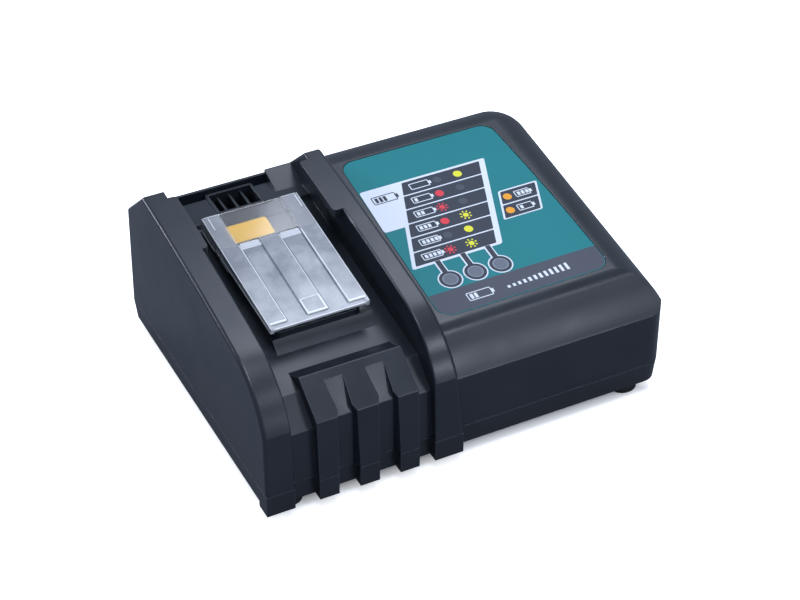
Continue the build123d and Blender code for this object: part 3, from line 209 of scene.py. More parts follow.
def stroke(mesh, start, end, thick, heights):
    """Straight stroke of one thickness between two places."""
    a, b = Vector(start), Vector(end)
    run = b - a
    side = Vector((-run.y, run.x)).normalized() * thick / 2
    slab(mesh, [tuple(a - side), tuple(b - side), tuple(b + side), tuple(a + side)], heights)


# %% [markdown]
# ## Moulded black ABS
# The housing is ABS with a fine texture that is etched into the mould. Up close it is a field of
# shallow pits about 0.3 mm apart, and from arm's length it turns the plastic's gloss into a soft
# sheen. The pits could be modelled, but a noise of that size in the bump does the same for the
# light. A slower noise lets the sheen wander a little, as it does on a moulding that has been
# handled.
#
# Outer edges get a painted highlight: their colour is mixed a little towards a pale grey. The Bevel
# node rounds the normal near an edge, so where it parts from the face's own normal there is an
# edge. Ambient occlusion takes away the inner edges, which get no painted highlight.

# %% Mask of the painted edge highlight
NOOK_REACH = 1.2  # mm, within which another face shelters an edge
EDGE_HIGHLIGHT_SHARE = 0.4


def painted_edge_highlight(tree, soft_normal):
    """Output that is 0 on a face and rises on an outer edge, where a highlight is painted."""
    flat = add(tree, "ShaderNodeNewGeometry").outputs["True Normal"]
    likeness = add(
        tree, "ShaderNodeVectorMath", {"operation": "DOT_PRODUCT"}, {0: flat, 1: soft_normal}
    ).outputs["Value"]
    edge = add(
        tree, "ShaderNodeMapRange", {"From Min": 0.95, "From Max": 0.78}, {"Value": likeness}
    ).outputs[0]
    openness = add(
        tree,
        "ShaderNodeAmbientOcclusion",
        {"samples": 4, "only_local": True, "Distance": NOOK_REACH * MM},
    ).outputs["AO"]
    outer = add(
        tree, "ShaderNodeMapRange", {"From Min": 0.72, "From Max": 0.95}, {"Value": openness}
    ).outputs[0]
    highlighted = add(tree, "ShaderNodeMath", {"operation": "MULTIPLY"}, {0: edge, 1: outer}).outputs[0]
    return add(
        tree, "ShaderNodeMath", {"operation": "MULTIPLY", 1: EDGE_HIGHLIGHT_SHARE}, {0: highlighted}
    ).outputs[0]


# %% Black ABS
EDGE_HIGHLIGHT_GREY = "#8e99a8"  # what the painted edge highlight leans to
PIT_DEPTH = 0.02  # mm
SHEEN_SCALE = 38.0  # swells to a metre, so one is about 26 mm


def moulded_abs(name, colour, worn_colour, roughness, pit_mm=0.32, edge_mm=0.35):
    """Textured moulded plastic: pits, a slow change of sheen, soft edges with a painted highlight.
    """
    material, tree, shader, place = start_material(name, {"IOR": 1.5, "Specular IOR Level": 0.5})
    slow = add(
        tree,
        "ShaderNodeTexNoise",
        {"Scale": SHEEN_SCALE, "Detail": 3.0, "Roughness": 0.55},
        {"Vector": place},
    ).outputs[0]
    wear = add(
        tree, "ShaderNodeMapRange", {"From Min": 0.35, "From Max": 0.7}, {"Value": slow}
    ).outputs[0]
    base = add(
        tree,
        "ShaderNodeMix",
        {"data_type": "RGBA", COLOUR_A: linear(colour), COLOUR_B: linear(worn_colour)},
        {0: wear},
    ).outputs[MIXED]
    soft = add(tree, "ShaderNodeBevel", {"samples": 6, "Radius": edge_mm * MM}).outputs[0]
    # Painted highlight: outer edges are mixed a little towards a pale grey.
    with_edges = add(
        tree,
        "ShaderNodeMix",
        {"data_type": "RGBA", COLOUR_B: linear(EDGE_HIGHLIGHT_GREY)},
        {0: painted_edge_highlight(tree, soft), COLOUR_A: base},
    ).outputs[MIXED]
    tree.links.new(with_edges, shader.inputs["Base Color"])
    sheen = add(
        tree,
        "ShaderNodeMapRange",
        {"From Min": 0.3, "From Max": 0.7, "To Min": roughness - 0.04, "To Max": roughness + 0.05},
        {"Value": slow},
    ).outputs[0]
    tree.links.new(sheen, shader.inputs["Roughness"])
    pits = add(
        tree,
        "ShaderNodeTexNoise",
        {"Scale": 1 / (pit_mm * MM), "Detail": 2.0, "Roughness": 0.6},
        {"Vector": place},
    ).outputs[0]
    bump = add(
        tree,
        "ShaderNodeBump",
        {"Strength": 0.35, "Distance": PIT_DEPTH * MM},
        {"Height": pits, "Normal": soft},
    ).outputs[0]
    tree.links.new(bump, shader.inputs["Normal"])
    return material


# %% Black mouldings
# The upper housing has the most sheen, because hands and packs polish it.
give(moulded_abs("black_moulded_abs", "#191e25", "#1f252d", 0.33, edge_mm=0.45), "upper_housing")
give(moulded_abs("black_moulded_abs_tray", "#171b21", "#1d2229", 0.4), "lower_housing")
give(moulded_abs("dark_grey_duct_abs", "#1c2025", "#22262c", 0.38, pit_mm=0.6), "air_duct")
# Filled nylon takes the heat inside. It is the darkest and dullest, from an untextured mould.
give(
    moulded_abs("plain_black_nylon", "#121417", "#17191d", 0.4, pit_mm=0.6),
    "terminal_block",
    "fan_frame",
    "fan_impeller",
    "power_transistors",
    "sounder",
)

# %% [markdown]
# ## Smoky clear polycarbonate
# The sliding cover is one moulding in clear polycarbonate with a light grey tint. A window in its
# rear lid is polished, so the yellow connector shows through it. The front, over the blades, has
# a fine matt texture that scatters light and hides them, and so, less strongly, have the lid's
# two sides, over the springs. That could be three materials on three patches of faces, but the
# solid's faces don't end where the texture does. So masks along and across the bay turn one
# finish into the other. The matt front is cloudy, and gets paler towards its free end, where
# light comes in from all sides.

# %% Where the cover is matt, in millimetres
FROST_START = 18.2  # along the object, the rear end of the matt front
FROST_FADE = 0.6
COVER_FRONT = -34.0
LID_WINDOW = 13.8  # from the bay's middle to each side of the polished window
LID_FADE = 1.5
LID_SIDE_FROST = 0.75  # how matt the lid is beside its window
CLOUD_SCALE = 85.0  # clouds to a metre, so one is about 12 mm
SMOOTHED_EDGE = 0.25
CLOUD_RELIEF = 0.08


def matt_share(tree, place):
    """Outputs that say how matt the cover is at a place, and how far forward the place lies."""
    across, along = add(tree, "ShaderNodeSeparateXYZ", links={0: place}).outputs[:2]
    front = add(
        tree,
        "ShaderNodeMapRange",
        {"From Min": FROST_START * MM, "From Max": (FROST_START - FROST_FADE) * MM},
        {"Value": along},
    ).outputs[0]
    off_middle = add(
        tree, "ShaderNodeMath", {"operation": "SUBTRACT", 1: BAY_MIDDLE * MM}, {0: across}
    ).outputs[0]
    far = add(tree, "ShaderNodeMath", {"operation": "ABSOLUTE"}, {0: off_middle}).outputs[0]
    sides = add(
        tree,
        "ShaderNodeMapRange",
        {
            "From Min": LID_WINDOW * MM,
            "From Max": (LID_WINDOW + LID_FADE) * MM,
            "To Max": LID_SIDE_FROST,
        },
        {"Value": far},
    ).outputs[0]
    matt = add(tree, "ShaderNodeMath", {"operation": "MAXIMUM"}, {0: front, 1: sides}).outputs[0]
    forward = add(
        tree,
        "ShaderNodeMapRange",
        {"From Min": FROST_START * MM, "From Max": COVER_FRONT * MM},
        {"Value": along},
    ).outputs[0]
    return matt, forward


# %% Clear cover
def frosted_cover(name, tint, dark_tint, clear_tint, matt_clarity):
    """Clear plastic that turns matt and cloudy where matt_share says."""
    material, tree, shader, place = start_material(
        name, {"IOR": 1.45, "Coat Weight": 0.12, "Coat Roughness": 0.1}
    )
    matt, forward = matt_share(tree, place)
    cloud = add(
        tree,
        "ShaderNodeTexNoise",
        {"Scale": CLOUD_SCALE, "Detail": 5.0, "Roughness": 0.58},
        {"Vector": place},
    ).outputs[0]
    patch = add(
        tree,
        "ShaderNodeMapRange",
        {"From Min": 0.32, "From Max": 0.68, "To Min": -0.45, "To Max": 0.4},
        {"Value": cloud},
    ).outputs[0]
    paler = add(
        tree, "ShaderNodeMath", {"operation": "ADD", "use_clamp": True}, {0: forward, 1: patch}
    ).outputs[0]
    matt_colour = add(
        tree,
        "ShaderNodeMix",
        {"data_type": "RGBA", COLOUR_A: linear(dark_tint), COLOUR_B: linear(tint)},
        {0: paler},
    ).outputs[MIXED]
    base = add(
        tree,
        "ShaderNodeMix",
        {"data_type": "RGBA", COLOUR_A: linear(clear_tint)},
        {0: matt, COLOUR_B: matt_colour},
    ).outputs[MIXED]
    tree.links.new(base, shader.inputs["Base Color"])
    for socket, polished, matted in (
        ("Transmission Weight", 1.0, matt_clarity),
        ("Roughness", 0.08, 0.3),
    ):
        share = add(
            tree, "ShaderNodeMapRange", {"To Min": polished, "To Max": matted}, {"Value": matt}
        ).outputs[0]
        tree.links.new(share, shader.inputs[socket])
    soft = add(tree, "ShaderNodeBevel", {"samples": 6, "Radius": SMOOTHED_EDGE * MM}).outputs[0]
    bump = add(
        tree,
        "ShaderNodeBump",
        {"Strength": 0.2, "Distance": CLOUD_RELIEF * MM},
        {"Height": cloud, "Normal": soft},
    ).outputs[0]
    tree.links.new(bump, shader.inputs["Normal"])
    return material


# %% The cover, and how its ramps, ribs and edges look
cover_clear = frosted_cover("smoky_clear_polycarbonate", "#dee0e4", "#9a9ea8", "#f2f3f6", 0.42)
ramp_clear = frosted_cover("polished_polycarbonate_ramp", "#eceef2", "#dfe2e8", "#eceef2", 0.35)
# Darker grey finish for the lines over the ribs under the cover: painted shade.
rib_shade = frosted_cover("polycarbonate_painted_rib_shade", "#858a98", "#6b7080", "#858a98", 0.3)
# Near-white finish of the cover's marks and skirt edges: a painted highlight.
cover_highlight = frosted_cover("polycarbonate_painted_highlight", "#ffffff", "#f2f4f8", "#f4f6fa", 0.12)
give(cover_clear, "terminal_cover")

# %% [markdown]
# ## Metals
# Blades, pins and fuse clips are brass under bright nickel, screws are zinc plated steel, and the
# heat sinks are bare extruded aluminium. Rolling and extrusion leave fine lines along one axis.
# They could be anisotropic gloss, but a noise that is drawn out along that axis shows them from
# close by too.

# %% Metals
LINE_STRETCH = 0.03  # a line is about 30 times as long as it is wide
PLAIN_GRAIN = 1.2  # mm, the unevenness of a metal without lines
LINE_DEPTH = 0.01  # mm


def metal(name, colour, roughness, line_mm=None, axis=2):
    """Bare or plated metal. line_mm draws fine lines along one axis."""
    material, tree, shader, place = start_material(
        name, {"Base Color": linear(colour), "Metallic": 1.0}
    )
    stretch = [1.0, 1.0, 1.0]
    if line_mm:
        stretch[axis] = LINE_STRETCH
    spread = add(tree, "ShaderNodeMapping", {"Scale": stretch}, {"Vector": place}).outputs[0]
    grain = add(
        tree,
        "ShaderNodeTexNoise",
        {"Scale": 1 / ((line_mm or PLAIN_GRAIN) * MM), "Detail": 3.0},
        {"Vector": spread},
    ).outputs[0]
    rough = add(
        tree,
        "ShaderNodeMapRange",
        {"To Min": roughness - 0.06, "To Max": roughness + 0.1},
        {"Value": grain},
    ).outputs[0]
    tree.links.new(rough, shader.inputs["Roughness"])
    bump = add(
        tree, "ShaderNodeBump", {"Strength": 0.2, "Distance": LINE_DEPTH * MM}, {"Height": grain}
    ).outputs[0]
    tree.links.new(bump, shader.inputs["Normal"])
    return material


# %% Metal pieces
# Nickel is bright and a little warm, drawn steel is a darker, even grey, and zinc is dull. Extruded
# aluminium is pale and satin, and enamelled copper is a deep orange with a clear gloss.
spring_steel = metal("drawn_spring_steel", "#b9bcc0", 0.28)
give(
    metal("bright_nickel_plate", "#d9d6cd", 0.18, 0.2, 1),
    "negative_blade",
    "positive_blade",
    "signal_pins",
    "fuse_clips",
)
give(spring_steel, "fan_axle")
give(
    metal("zinc_plated_steel", "#aeb0b0", 0.34),
    "board_screws",
    "indicator_screws",
    "housing_screws",
)
give(
    metal("extruded_aluminium", "#c9cbcd", 0.36, 0.3, 2),
    "primary_heat_sink",
    "secondary_heat_sink",
)
give(metal("enamelled_copper_wire", "#b06a35", 0.3), "choke_winding")

# %% [markdown]
# ## Coloured plastics, rubber, ferrite and boards
# The rest are plain finishes, which could each be one flat colour. A single flat colour never
# looks like a made thing, though, so each wanders between two near ones and is a little uneven to
# the touch.

# %% Plain finishes
def plain(name, colour, second, roughness, spot_mm, extra=None, bump_mm=0.01):
    """Plain finish whose colour wanders between two near ones in spots of a given size."""
    material, tree, shader, place = start_material(name, {"Roughness": roughness, **(extra or {})})
    spots = add(
        tree, "ShaderNodeTexNoise", {"Scale": 1 / (spot_mm * MM), "Detail": 2.0}, {"Vector": place}
    ).outputs[0]
    base = add(
        tree,
        "ShaderNodeMix",
        {"data_type": "RGBA", COLOUR_A: linear(colour), COLOUR_B: linear(second)},
        {0: spots},
    ).outputs[MIXED]
    tree.links.new(base, shader.inputs["Base Color"])
    bump = add(
        tree, "ShaderNodeBump", {"Strength": 0.3, "Distance": bump_mm * MM}, {"Height": spots}
    ).outputs[0]
    tree.links.new(bump, shader.inputs["Normal"])
    return material


# %% Plastic, rubber and ferrite pieces
# Rubber is dull, with a coarse skin. PBT is satin. Ferrite is fired powder, matt and nearly black.
# Solder resist, polyester tape and shrink sleeve are thin glossy skins, and glass is the smoothest.
give(
    plain("black_moulded_rubber", "#161616", "#1e1e1e", 0.62, 0.5, bump_mm=0.03),
    "rubber_feet",
    "cord_gland",
)
give(
    plain("yellow_pbt", "#ffcc3c", "#fac230", 0.4, 0.8),
    "signal_connector",
    "mains_filter_capacitor",
)
give(plain("pressed_ferrite", "#2a2a2c", "#353538", 0.5, 0.4), "transformer_core", "choke_core")
give(plain("green_solder_resist", "#1d5a34", "#246a3e", 0.3, 2.0), "main_board", "indicator_board")
give(plain("yellow_polyester_tape", "#d8b23c", "#c9a231", 0.25, 5.0), "transformer_winding")
give(
    plain("dark_shrink_sleeve", "#20242f", "#2a2f3c", 0.25, 3.0),
    "bulk_capacitor",
    "output_capacitors",
)
clear_glass = {"Transmission Weight": 0.9, "IOR": 1.5}
give(plain("fuse_glass", "#e8eeee", "#dfe6e6", 0.05, 4.0, clear_glass), "fuse")

# %% [markdown]
# ## Lamps and light guides
# The lamps are tinted epoxy domes. They could glow, but the charger stands unlit, so they are a
# clear deep colour. The light guides above them are frosted acrylic, which looks grey because the
# dark inside shows through.

# %% Lamps and light guides
# Cast epoxy is as smooth as glass. The light guides are blasted, so they spread what passes.
clear_epoxy = {"Transmission Weight": 0.35, "IOR": 1.54}
for name, colour, second in (
    ("red_lamp", "#c0302a", "#b02823"),
    ("yellow_lamp", "#e6c832", "#d9ba28"),
    ("amber_lamp", "#e08a22", "#d27e1a"),
):
    give(plain("tinted_epoxy_" + name, colour, second, 0.12, 2.0, clear_epoxy), name)
frosted_acrylic = {"Transmission Weight": 0.25, "IOR": 1.49}
give(
    plain("frosted_acrylic", "#7b8088", "#6f757d", 0.45, 0.5, frosted_acrylic, bump_mm=0.03),
    "light_guides",
)

# %% [markdown]
# ## Printed film
# The panel is polycarbonate film, printed on its underside, so the ink sits under a satin skin.
# The skin could be a second, clear piece over the ink. It is thinner than a hair, so here each
# ink has the skin's gloss itself, and the very fine orange peel that softens the reflection of
# the room.

# %% Print inks
INK_SWELLS = 30.0  # to a metre, where the ink lies a little thicker or thinner
PEEL_SIZE, PEEL_DEPTH = 0.45, 0.01  # mm


def film_ink(name, colour, second=None):
    """One ink of the printed film, under a satin skin."""
    material, tree, shader, place = start_material(
        name, {"Roughness": 0.42, "IOR": 1.4, "Specular IOR Level": 0.3}
    )
    slow = add(
        tree, "ShaderNodeTexNoise", {"Scale": INK_SWELLS, "Detail": 2.0}, {"Vector": place}
    ).outputs[0]
    base = add(
        tree,
        "ShaderNodeMix",
        {"data_type": "RGBA", COLOUR_A: linear(colour), COLOUR_B: linear(second or colour)},
        {0: slow},
    ).outputs[MIXED]
    tree.links.new(base, shader.inputs["Base Color"])
    peel = add(
        tree,
        "ShaderNodeTexNoise",
        {"Scale": 1 / (PEEL_SIZE * MM), "Detail": 1.0},
        {"Vector": place},
    ).outputs[0]
    bump = add(
        tree, "ShaderNodeBump", {"Strength": 0.12, "Distance": PEEL_DEPTH * MM}, {"Height": peel}
    ).outputs[0]
    tree.links.new(bump, shader.inputs["Normal"])
    return material


# Large fields of ink wander between two near colours. Small dots are too small to show it.
teal_ink = film_ink("teal_ink", "#12777c", "#167e83")
dark_ink = film_ink("dark_grey_ink", "#4a4d58", "#4e515c")
slate_ink = film_ink("slate_ink", "#343a45", "#383e49")
pale_ink = film_ink("pale_grey_ink", "#dde2ea", "#e2e6ee")
red_ink = film_ink("red_ink", "#e0404c")
yellow_ink = film_ink("yellow_ink", "#e6e23c")
amber_ink = film_ink("amber_ink", "#f0a232")
lens_ink = film_ink("smoky_window_ink", "#666c78", "#6e7480")
lens_rim_ink = film_ink("window_rim_ink", "#868d9a")
faint_ink = film_ink("faint_grey_ink", "#4a4f58")
give(teal_ink, "display_label")

# %% [markdown]
# ## The print on the panel
# The chart explains the three lamps: a row for each state of the battery, with a dot for each
# lamp that is lit. The film carries no name, number or words. The print could be a pattern in one
# material, but each ink goes down in its own pass, so each is a piece of its own here: a few
# hundredths of a millimetre thick, a later pass on top of an earlier one.

# %% Layout of the chart, in millimetres on the panel
FILM_TOP = -0.2
INK = 0.03  # thickness of one pass
STEP = 0.004  # shapes that overlap in a pass differ in height by this, so no two tops meet
ROWS, ROW_PITCH, ROW_GAP = 6, 8.5, 0.35
CHART_FRONT = -20.4
CHART_REAR = CHART_FRONT + ROWS * ROW_PITCH
CHART_LEAN = 0.36  # how far the chart leans right, for each millimetre back
CHART_SIDES = (-1.6, 41.6)
ROW_SIDES = (0.2, 38.8)
BLOCK_FRONT, BLOCK_REAR = CHART_FRONT - 1.0, CHART_REAR + 0.9
BLOCK_CORNER, ROW_CORNER = 1.2, 0.5
ROW_MIDDLES = [CHART_FRONT + (row + 0.5) * ROW_PITCH for row in range(ROWS)]
WINDOW_LEFT, WINDOW_PITCH, WINDOW_Y = 10.3, 12.0, -32.45
WINDOWS = [(WINDOW_LEFT + WINDOW_PITCH * i, WINDOW_Y) for i in range(3)]
print("the chart runs from", CHART_FRONT, "to", CHART_REAR, "mm")


def chart_x(x, y):
    """Place across the panel of a chart line that starts at x on the chart's front edge."""
    return x + CHART_LEAN * (y - CHART_FRONT)


def leaning(sides, y_low, y_high):
    """Corners of a block of the chart, whose sides lean with it."""
    left, right = sides
    return [
        (chart_x(left, y_low), y_low),
        (chart_x(right, y_low), y_low),
        (chart_x(right, y_high), y_high),
        (chart_x(left, y_high), y_high),
    ]


# %% Passes of ink
def heights(level, steps_under=0):
    """Heights between which a pass of ink lies, its top lowered by a number of steps."""
    low = FILM_TOP + (level - 1) * INK
    return low, low + INK - steps_under * STEP


def battery_sign(mesh, x, y, bars, at, length=9.0, high=3.6):
    """Outline of a battery with a number of charge bars in it, between the heights at."""
    line, cap, margin = 0.45, 1.2, 1.1
    bar, bar_pitch, bar_room = 1.4, 2.0, 1.5
    half = high / 2
    for side, end in ((-half, x), (half, x + length)):
        stroke(mesh, (x, y + side), (x + length, y + side), line, at)
        stroke(mesh, (end, y - half + line / 2), (end, y + half - line / 2), line, at)
    stroke(mesh, (x + length + line / 2, y), (x + length + cap, y), half, at)
    for i in range(bars):
        left = x + margin + i * bar_pitch
        stroke(mesh, (left, y), (left + bar, y), high - bar_room, at)


# %% [markdown]
# The front band follows the film's rounded front corners, so its own are bevelled by as much. The
# pale block behind the chart and the one for the battery's sign overlap, as they do in one
# stencil.

# %% First pass: front band and pale blocks
BAND_CORNERS = [(-3.35, -51.6), (76.8, -51.6), (77.0, -38.2), (-3.1, -38.2)]
BAND_ROUND, BAND_ROUND_STEPS = 6.2, 8
SIGN_BLOCK = [(-2.6, 4.0), (9.0, 4.0), (19.0, BLOCK_REAR), (-1.6, BLOCK_REAR)]
SIDE_BOX_SIDES, SIDE_BOX_FRONT, SIDE_BOX_REAR, SIDE_BOX_CORNER = (44.6, 64.0), -8.6, 8.9, 1.0
band = bmesh.new()
slab(band, BAND_CORNERS, heights(1))
band_middle = (BAND_CORNERS[0][1] + BAND_CORNERS[2][1]) / 2
front_corners = [
    edge
    for edge in band.edges
    if abs(edge.verts[0].co.z - edge.verts[1].co.z) > INK / 2 and edge.verts[0].co.y < band_middle
]
bmesh.ops.bevel(
    band,
    geom=front_corners,
    offset=BAND_ROUND,
    affect="EDGES",
    segments=BAND_ROUND_STEPS,
    profile=0.5,
    material=-1,
)
new_piece("label_front_band", band, PANEL, dark_ink)
pale = bmesh.new()
slab(pale, leaning(CHART_SIDES, BLOCK_FRONT, BLOCK_REAR), heights(1), BLOCK_CORNER)
slab(pale, SIGN_BLOCK, heights(1, 1), BLOCK_CORNER)
slab(pale, leaning(SIDE_BOX_SIDES, SIDE_BOX_FRONT, SIDE_BOX_REAR), heights(1), SIDE_BOX_CORNER)
new_piece("label_pale_block", pale, PANEL, pale_ink)

# %% [markdown]
# Each lamp has a window, and a stem joins it to the chart. The windows are unprinted spots with
# the light guides behind them. They could be holes in the ink, but a grey lens on top reads the
# same and keeps the film closed.

# %% Window rings and their stems
PALE_RING, DARK_FIELD = 5.45, 4.85  # radii
PALE_STEM, DARK_STEM = 1.75, 1.15  # half of their widths
PALE_STEM_REAR, DARK_STEM_REAR = -20.9, -20.2
rings, fields = bmesh.new(), bmesh.new()
for x, y in WINDOWS:
    disc(rings, x, y, PALE_RING, heights(1, 2))
    left, right = x - PALE_STEM, x + PALE_STEM
    rear = PALE_STEM_REAR
    stem = [(left, y), (right, y), (chart_x(right, rear), rear), (chart_x(left, rear), rear)]
    slab(rings, stem, heights(1, 3))
    disc(fields, x, y, DARK_FIELD, heights(2, 2))
    left, right = x - DARK_STEM, x + DARK_STEM
    stem = [(left, y), (right, y), (right, DARK_STEM_REAR), (left, DARK_STEM_REAR)]
    slab(fields, stem, heights(2, 3))
new_piece("label_window_rings", rings, PANEL, pale_ink)
new_piece("label_window_fields", fields, PANEL, slate_ink)

# %% Windows in the rings
LENS, LENS_RIM = 3.0, 3.5  # radii
lenses, lens_rims = bmesh.new(), bmesh.new()
for x, y in WINDOWS:
    disc(lenses, x, y, LENS, heights(3))
    disc(lens_rims, x, y, LENS_RIM, heights(3, 3))
new_piece("window_lenses", lenses, PANEL, lens_ink)
new_piece("window_lens_rims", lens_rims, PANEL, lens_rim_ink)

# %% [markdown]
# The rows are dark bars on the pale block, so that thin pale lines are left between them. Every
# row has a battery's outline, fuller from row to row, and its dots: a full dot for a lamp that
# stays lit, a dot with rays for one that blinks, and a faint one for a lamp that is off.

# %% Second pass: dark rows of the chart and of the side box
SIDE_ROW_SIDES, SIDE_ROW_FRONT, SIDE_ROW_REAR, SIDE_ROW_PITCH = (45.6, 63.0), -8.0, -0.3, 8.4
rows = bmesh.new()
for middle in ROW_MIDDLES:
    reach = ROW_PITCH / 2 - ROW_GAP
    slab(rows, leaning(ROW_SIDES, middle - reach, middle + reach), heights(2), ROW_CORNER)
for back in (0, SIDE_ROW_PITCH):
    row = leaning(SIDE_ROW_SIDES, SIDE_ROW_FRONT + back, SIDE_ROW_REAR + back)
    slab(rows, row, heights(2), ROW_CORNER)
new_piece("label_chart_rows", rows, PANEL, slate_ink)

# %% Battery signs in the rows
FULL_BARS = 4
SIGN_LEFT, SIDE_SIGN_LEFT, SIDE_SIGN_LENGTH = 4.0, 52.5, 7.0
SIDE_ROW_MIDDLES = (-4.1, 4.3)
signs = bmesh.new()
for row, y in enumerate(ROW_MIDDLES):
    bars = min(FULL_BARS, ROWS - 1 - row)
    battery_sign(signs, chart_x(SIGN_LEFT, y), y, bars, heights(3))
for y, bars in zip(SIDE_ROW_MIDDLES, (1, 3)):
    battery_sign(signs, chart_x(SIDE_SIGN_LEFT, y), y, bars, heights(3), SIDE_SIGN_LENGTH)
new_piece("label_signs", signs, PANEL, pale_ink)

# %% Larger signs, in the front band and in the pale block
SCALE_BARS, SCALE_LEFT, SCALE_FOOT, SCALE_PITCH, SCALE_THICK = 12, 31.0, -46.8, 2.6, 1.3
FIRST_BAR, BAR_GROWTH = 1.4, 0.25
LARGE_SIGN = 11.0  # length
front_signs = bmesh.new()
battery_sign(front_signs, 12.0, -45.2, 2, heights(2), LARGE_SIGN, 4.4)
for i in range(SCALE_BARS):
    x = SCALE_LEFT + SCALE_PITCH * i
    top = SCALE_FOOT + FIRST_BAR + BAR_GROWTH * i
    stroke(front_signs, (x, SCALE_FOOT), (x, top), SCALE_THICK, heights(2))
new_piece("label_front_signs", front_signs, PANEL, pale_ink)
block_sign = bmesh.new()
battery_sign(block_sign, 1.6, 24.0, 3, heights(2), LARGE_SIGN, 4.6)
new_piece("label_block_sign", block_sign, PANEL, slate_ink)

# %% Coloured dots: row, column, and whether the lamp blinks
DOT, SMALL_DOT = 2.0, 1.3  # radii
RAYS, RAY_TURN, RAY_START, RAY_END, RAY_THICK = 8, 0.2, 1.8, 2.7, 0.7
LAMP_COLUMNS = (17.2, 27.4)
AMBER_COLUMN = 48.6
DOTS = (
    ("label_red_dots", red_ink, ((0, 0, True), (2, 0, False), (3, 0, True), (4, 0, False))),
    ("label_yellow_dots", yellow_ink, ((0, 1, True), (1, 1, False), (2, 1, True), (5, 1, False))),
    ("label_faint_dots", faint_ink, ((1, 0, False), (5, 0, False), (3, 1, False), (4, 1, False))),
)


def blinking_dot(mesh, x, y):
    """Small dot with rays round it."""
    disc(mesh, x, y, SMALL_DOT, heights(3))
    middle = Vector((x, y))
    for i in range(RAYS):
        turn = 2 * math.pi * i / RAYS + RAY_TURN
        ray = Vector((math.cos(turn), math.sin(turn)))
        stroke(mesh, middle + ray * RAY_START, middle + ray * RAY_END, RAY_THICK, heights(3))


for name, ink, dots in DOTS:
    dot_mesh = bmesh.new()
    for row, column, blinks in dots:
        y = ROW_MIDDLES[row]
        x = chart_x(LAMP_COLUMNS[column], y)
        if blinks:
            blinking_dot(dot_mesh, x, y)
        else:
            disc(dot_mesh, x, y, DOT, heights(3))
    new_piece(name, dot_mesh, PANEL, ink)
amber_dots = bmesh.new()
for y in SIDE_ROW_MIDDLES:
    disc(amber_dots, chart_x(AMBER_COLUMN, y), y, DOT, heights(3))
new_piece("label_amber_dots", amber_dots, PANEL, amber_ink)

# %% [markdown]
# ## Return springs of the cover
# Each spring is wound from 0.5 mm wire. It could be a curve with a round section, but every point
# of its helix would have to be worked out. So a round of wire is turned round the spring's axis
# and moved a little along it with every step, as a coiling machine does, and its two ends are
# closed.

# %% Springs, in millimetres on the bay
SPRING_FRONT, SPRING_REAR, SPRING_DROP = 12.1, 38.9, 3.4
SPRING_SIDE = 18.0  # from the bay's middle to the spring's axis
END_ROOM = 0.3  # from each end's seat to the middle of the wire
COIL_RADIUS, WIRE_RADIUS = 1.25, 0.25
WIRE_SIDES = 10
TURNS, STEPS = 13, 20  # steps to a turn
for side, name in ((-1, "left"), (1, "right")):
    coil = bmesh.new()
    axis_x = side * SPRING_SIDE
    wire = bmesh.ops.create_circle(coil, radius=WIRE_RADIUS, segments=WIRE_SIDES)
    start = (axis_x + COIL_RADIUS, SPRING_FRONT + END_ROOM, -SPRING_DROP)
    bmesh.ops.translate(coil, verts=wire["verts"], vec=start)
    bmesh.ops.spin(
        coil,
        geom=coil.verts[:] + coil.edges[:],
        cent=(axis_x, 0, -SPRING_DROP),
        axis=(0, 1, 0),
        dvec=(0, (SPRING_REAR - SPRING_FRONT - 2 * END_ROOM) / (TURNS * STEPS), 0),
        angle=2 * math.pi * TURNS,
        steps=TURNS * STEPS,
    )
    open_ends = [edge for edge in coil.edges if edge.is_boundary]
    bmesh.ops.holes_fill(coil, edges=open_ends, sides=WIRE_SIDES)
    spring = new_piece(name + "_spring_coil", coil, BAY, spring_steel)
    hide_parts(name + "_cover_spring")
    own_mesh(spring)

# %% [markdown]
# ## Moulded marks on the cover
# The cover's three bands end in low frames at the front, short ridges stand by its rear corners,
# and its rim is a thin line. They are tenths of a millimetre high, too fine for the solids, so
# they are strokes on the bay's slope, near white: the highlights they catch are painted on.

# %% Frames, lines and ridges, in millimetres on the bay
SUNK = -0.05  # strokes reach this far into the cover, so that no gap shows under them
FRAME_TOP, RIDGE_TOP, SHORT_TOP, LINE_TOP = 0.26, 0.2, 0.16, 0.14
FRAME, RIDGE, SHORT = 1.1, 0.6, 0.5  # thicknesses
BANDS = ((-21.6, -14.0), (-4.6, 4.6), (14.0, 21.6))
SHORT_SIDE = 4.3  # half the width of the short frame across the middle band
BAND_END, SHORT_END, LINE_REAR = -31.0, -22.5, 17.0
BAND_INNER_END = BAND_END + 0.6
RIDGE_FRONT, RIDGE_REAR = 29.8, 37.8
RIM_SIDE, RIM_END_SIDE, RIM_FRONT, RIM_REAR = 22.1, 21.6, COVER_FRONT + 0.3, 38.6
RIM, REAR_RIM, FRONT_RIM = 0.3, 0.4, 0.5  # thicknesses
RIM_HEIGHTS = (-0.3, 0.06)
CHANNEL_FLOOR = -0.5
marks = bmesh.new()
for left, right in BANDS:
    stroke(marks, (left, BAND_END), (right, BAND_END), FRAME, (SUNK, FRAME_TOP))
stroke(marks, (-SHORT_SIDE, SHORT_END), (SHORT_SIDE, SHORT_END), SHORT, (SUNK, SHORT_TOP))
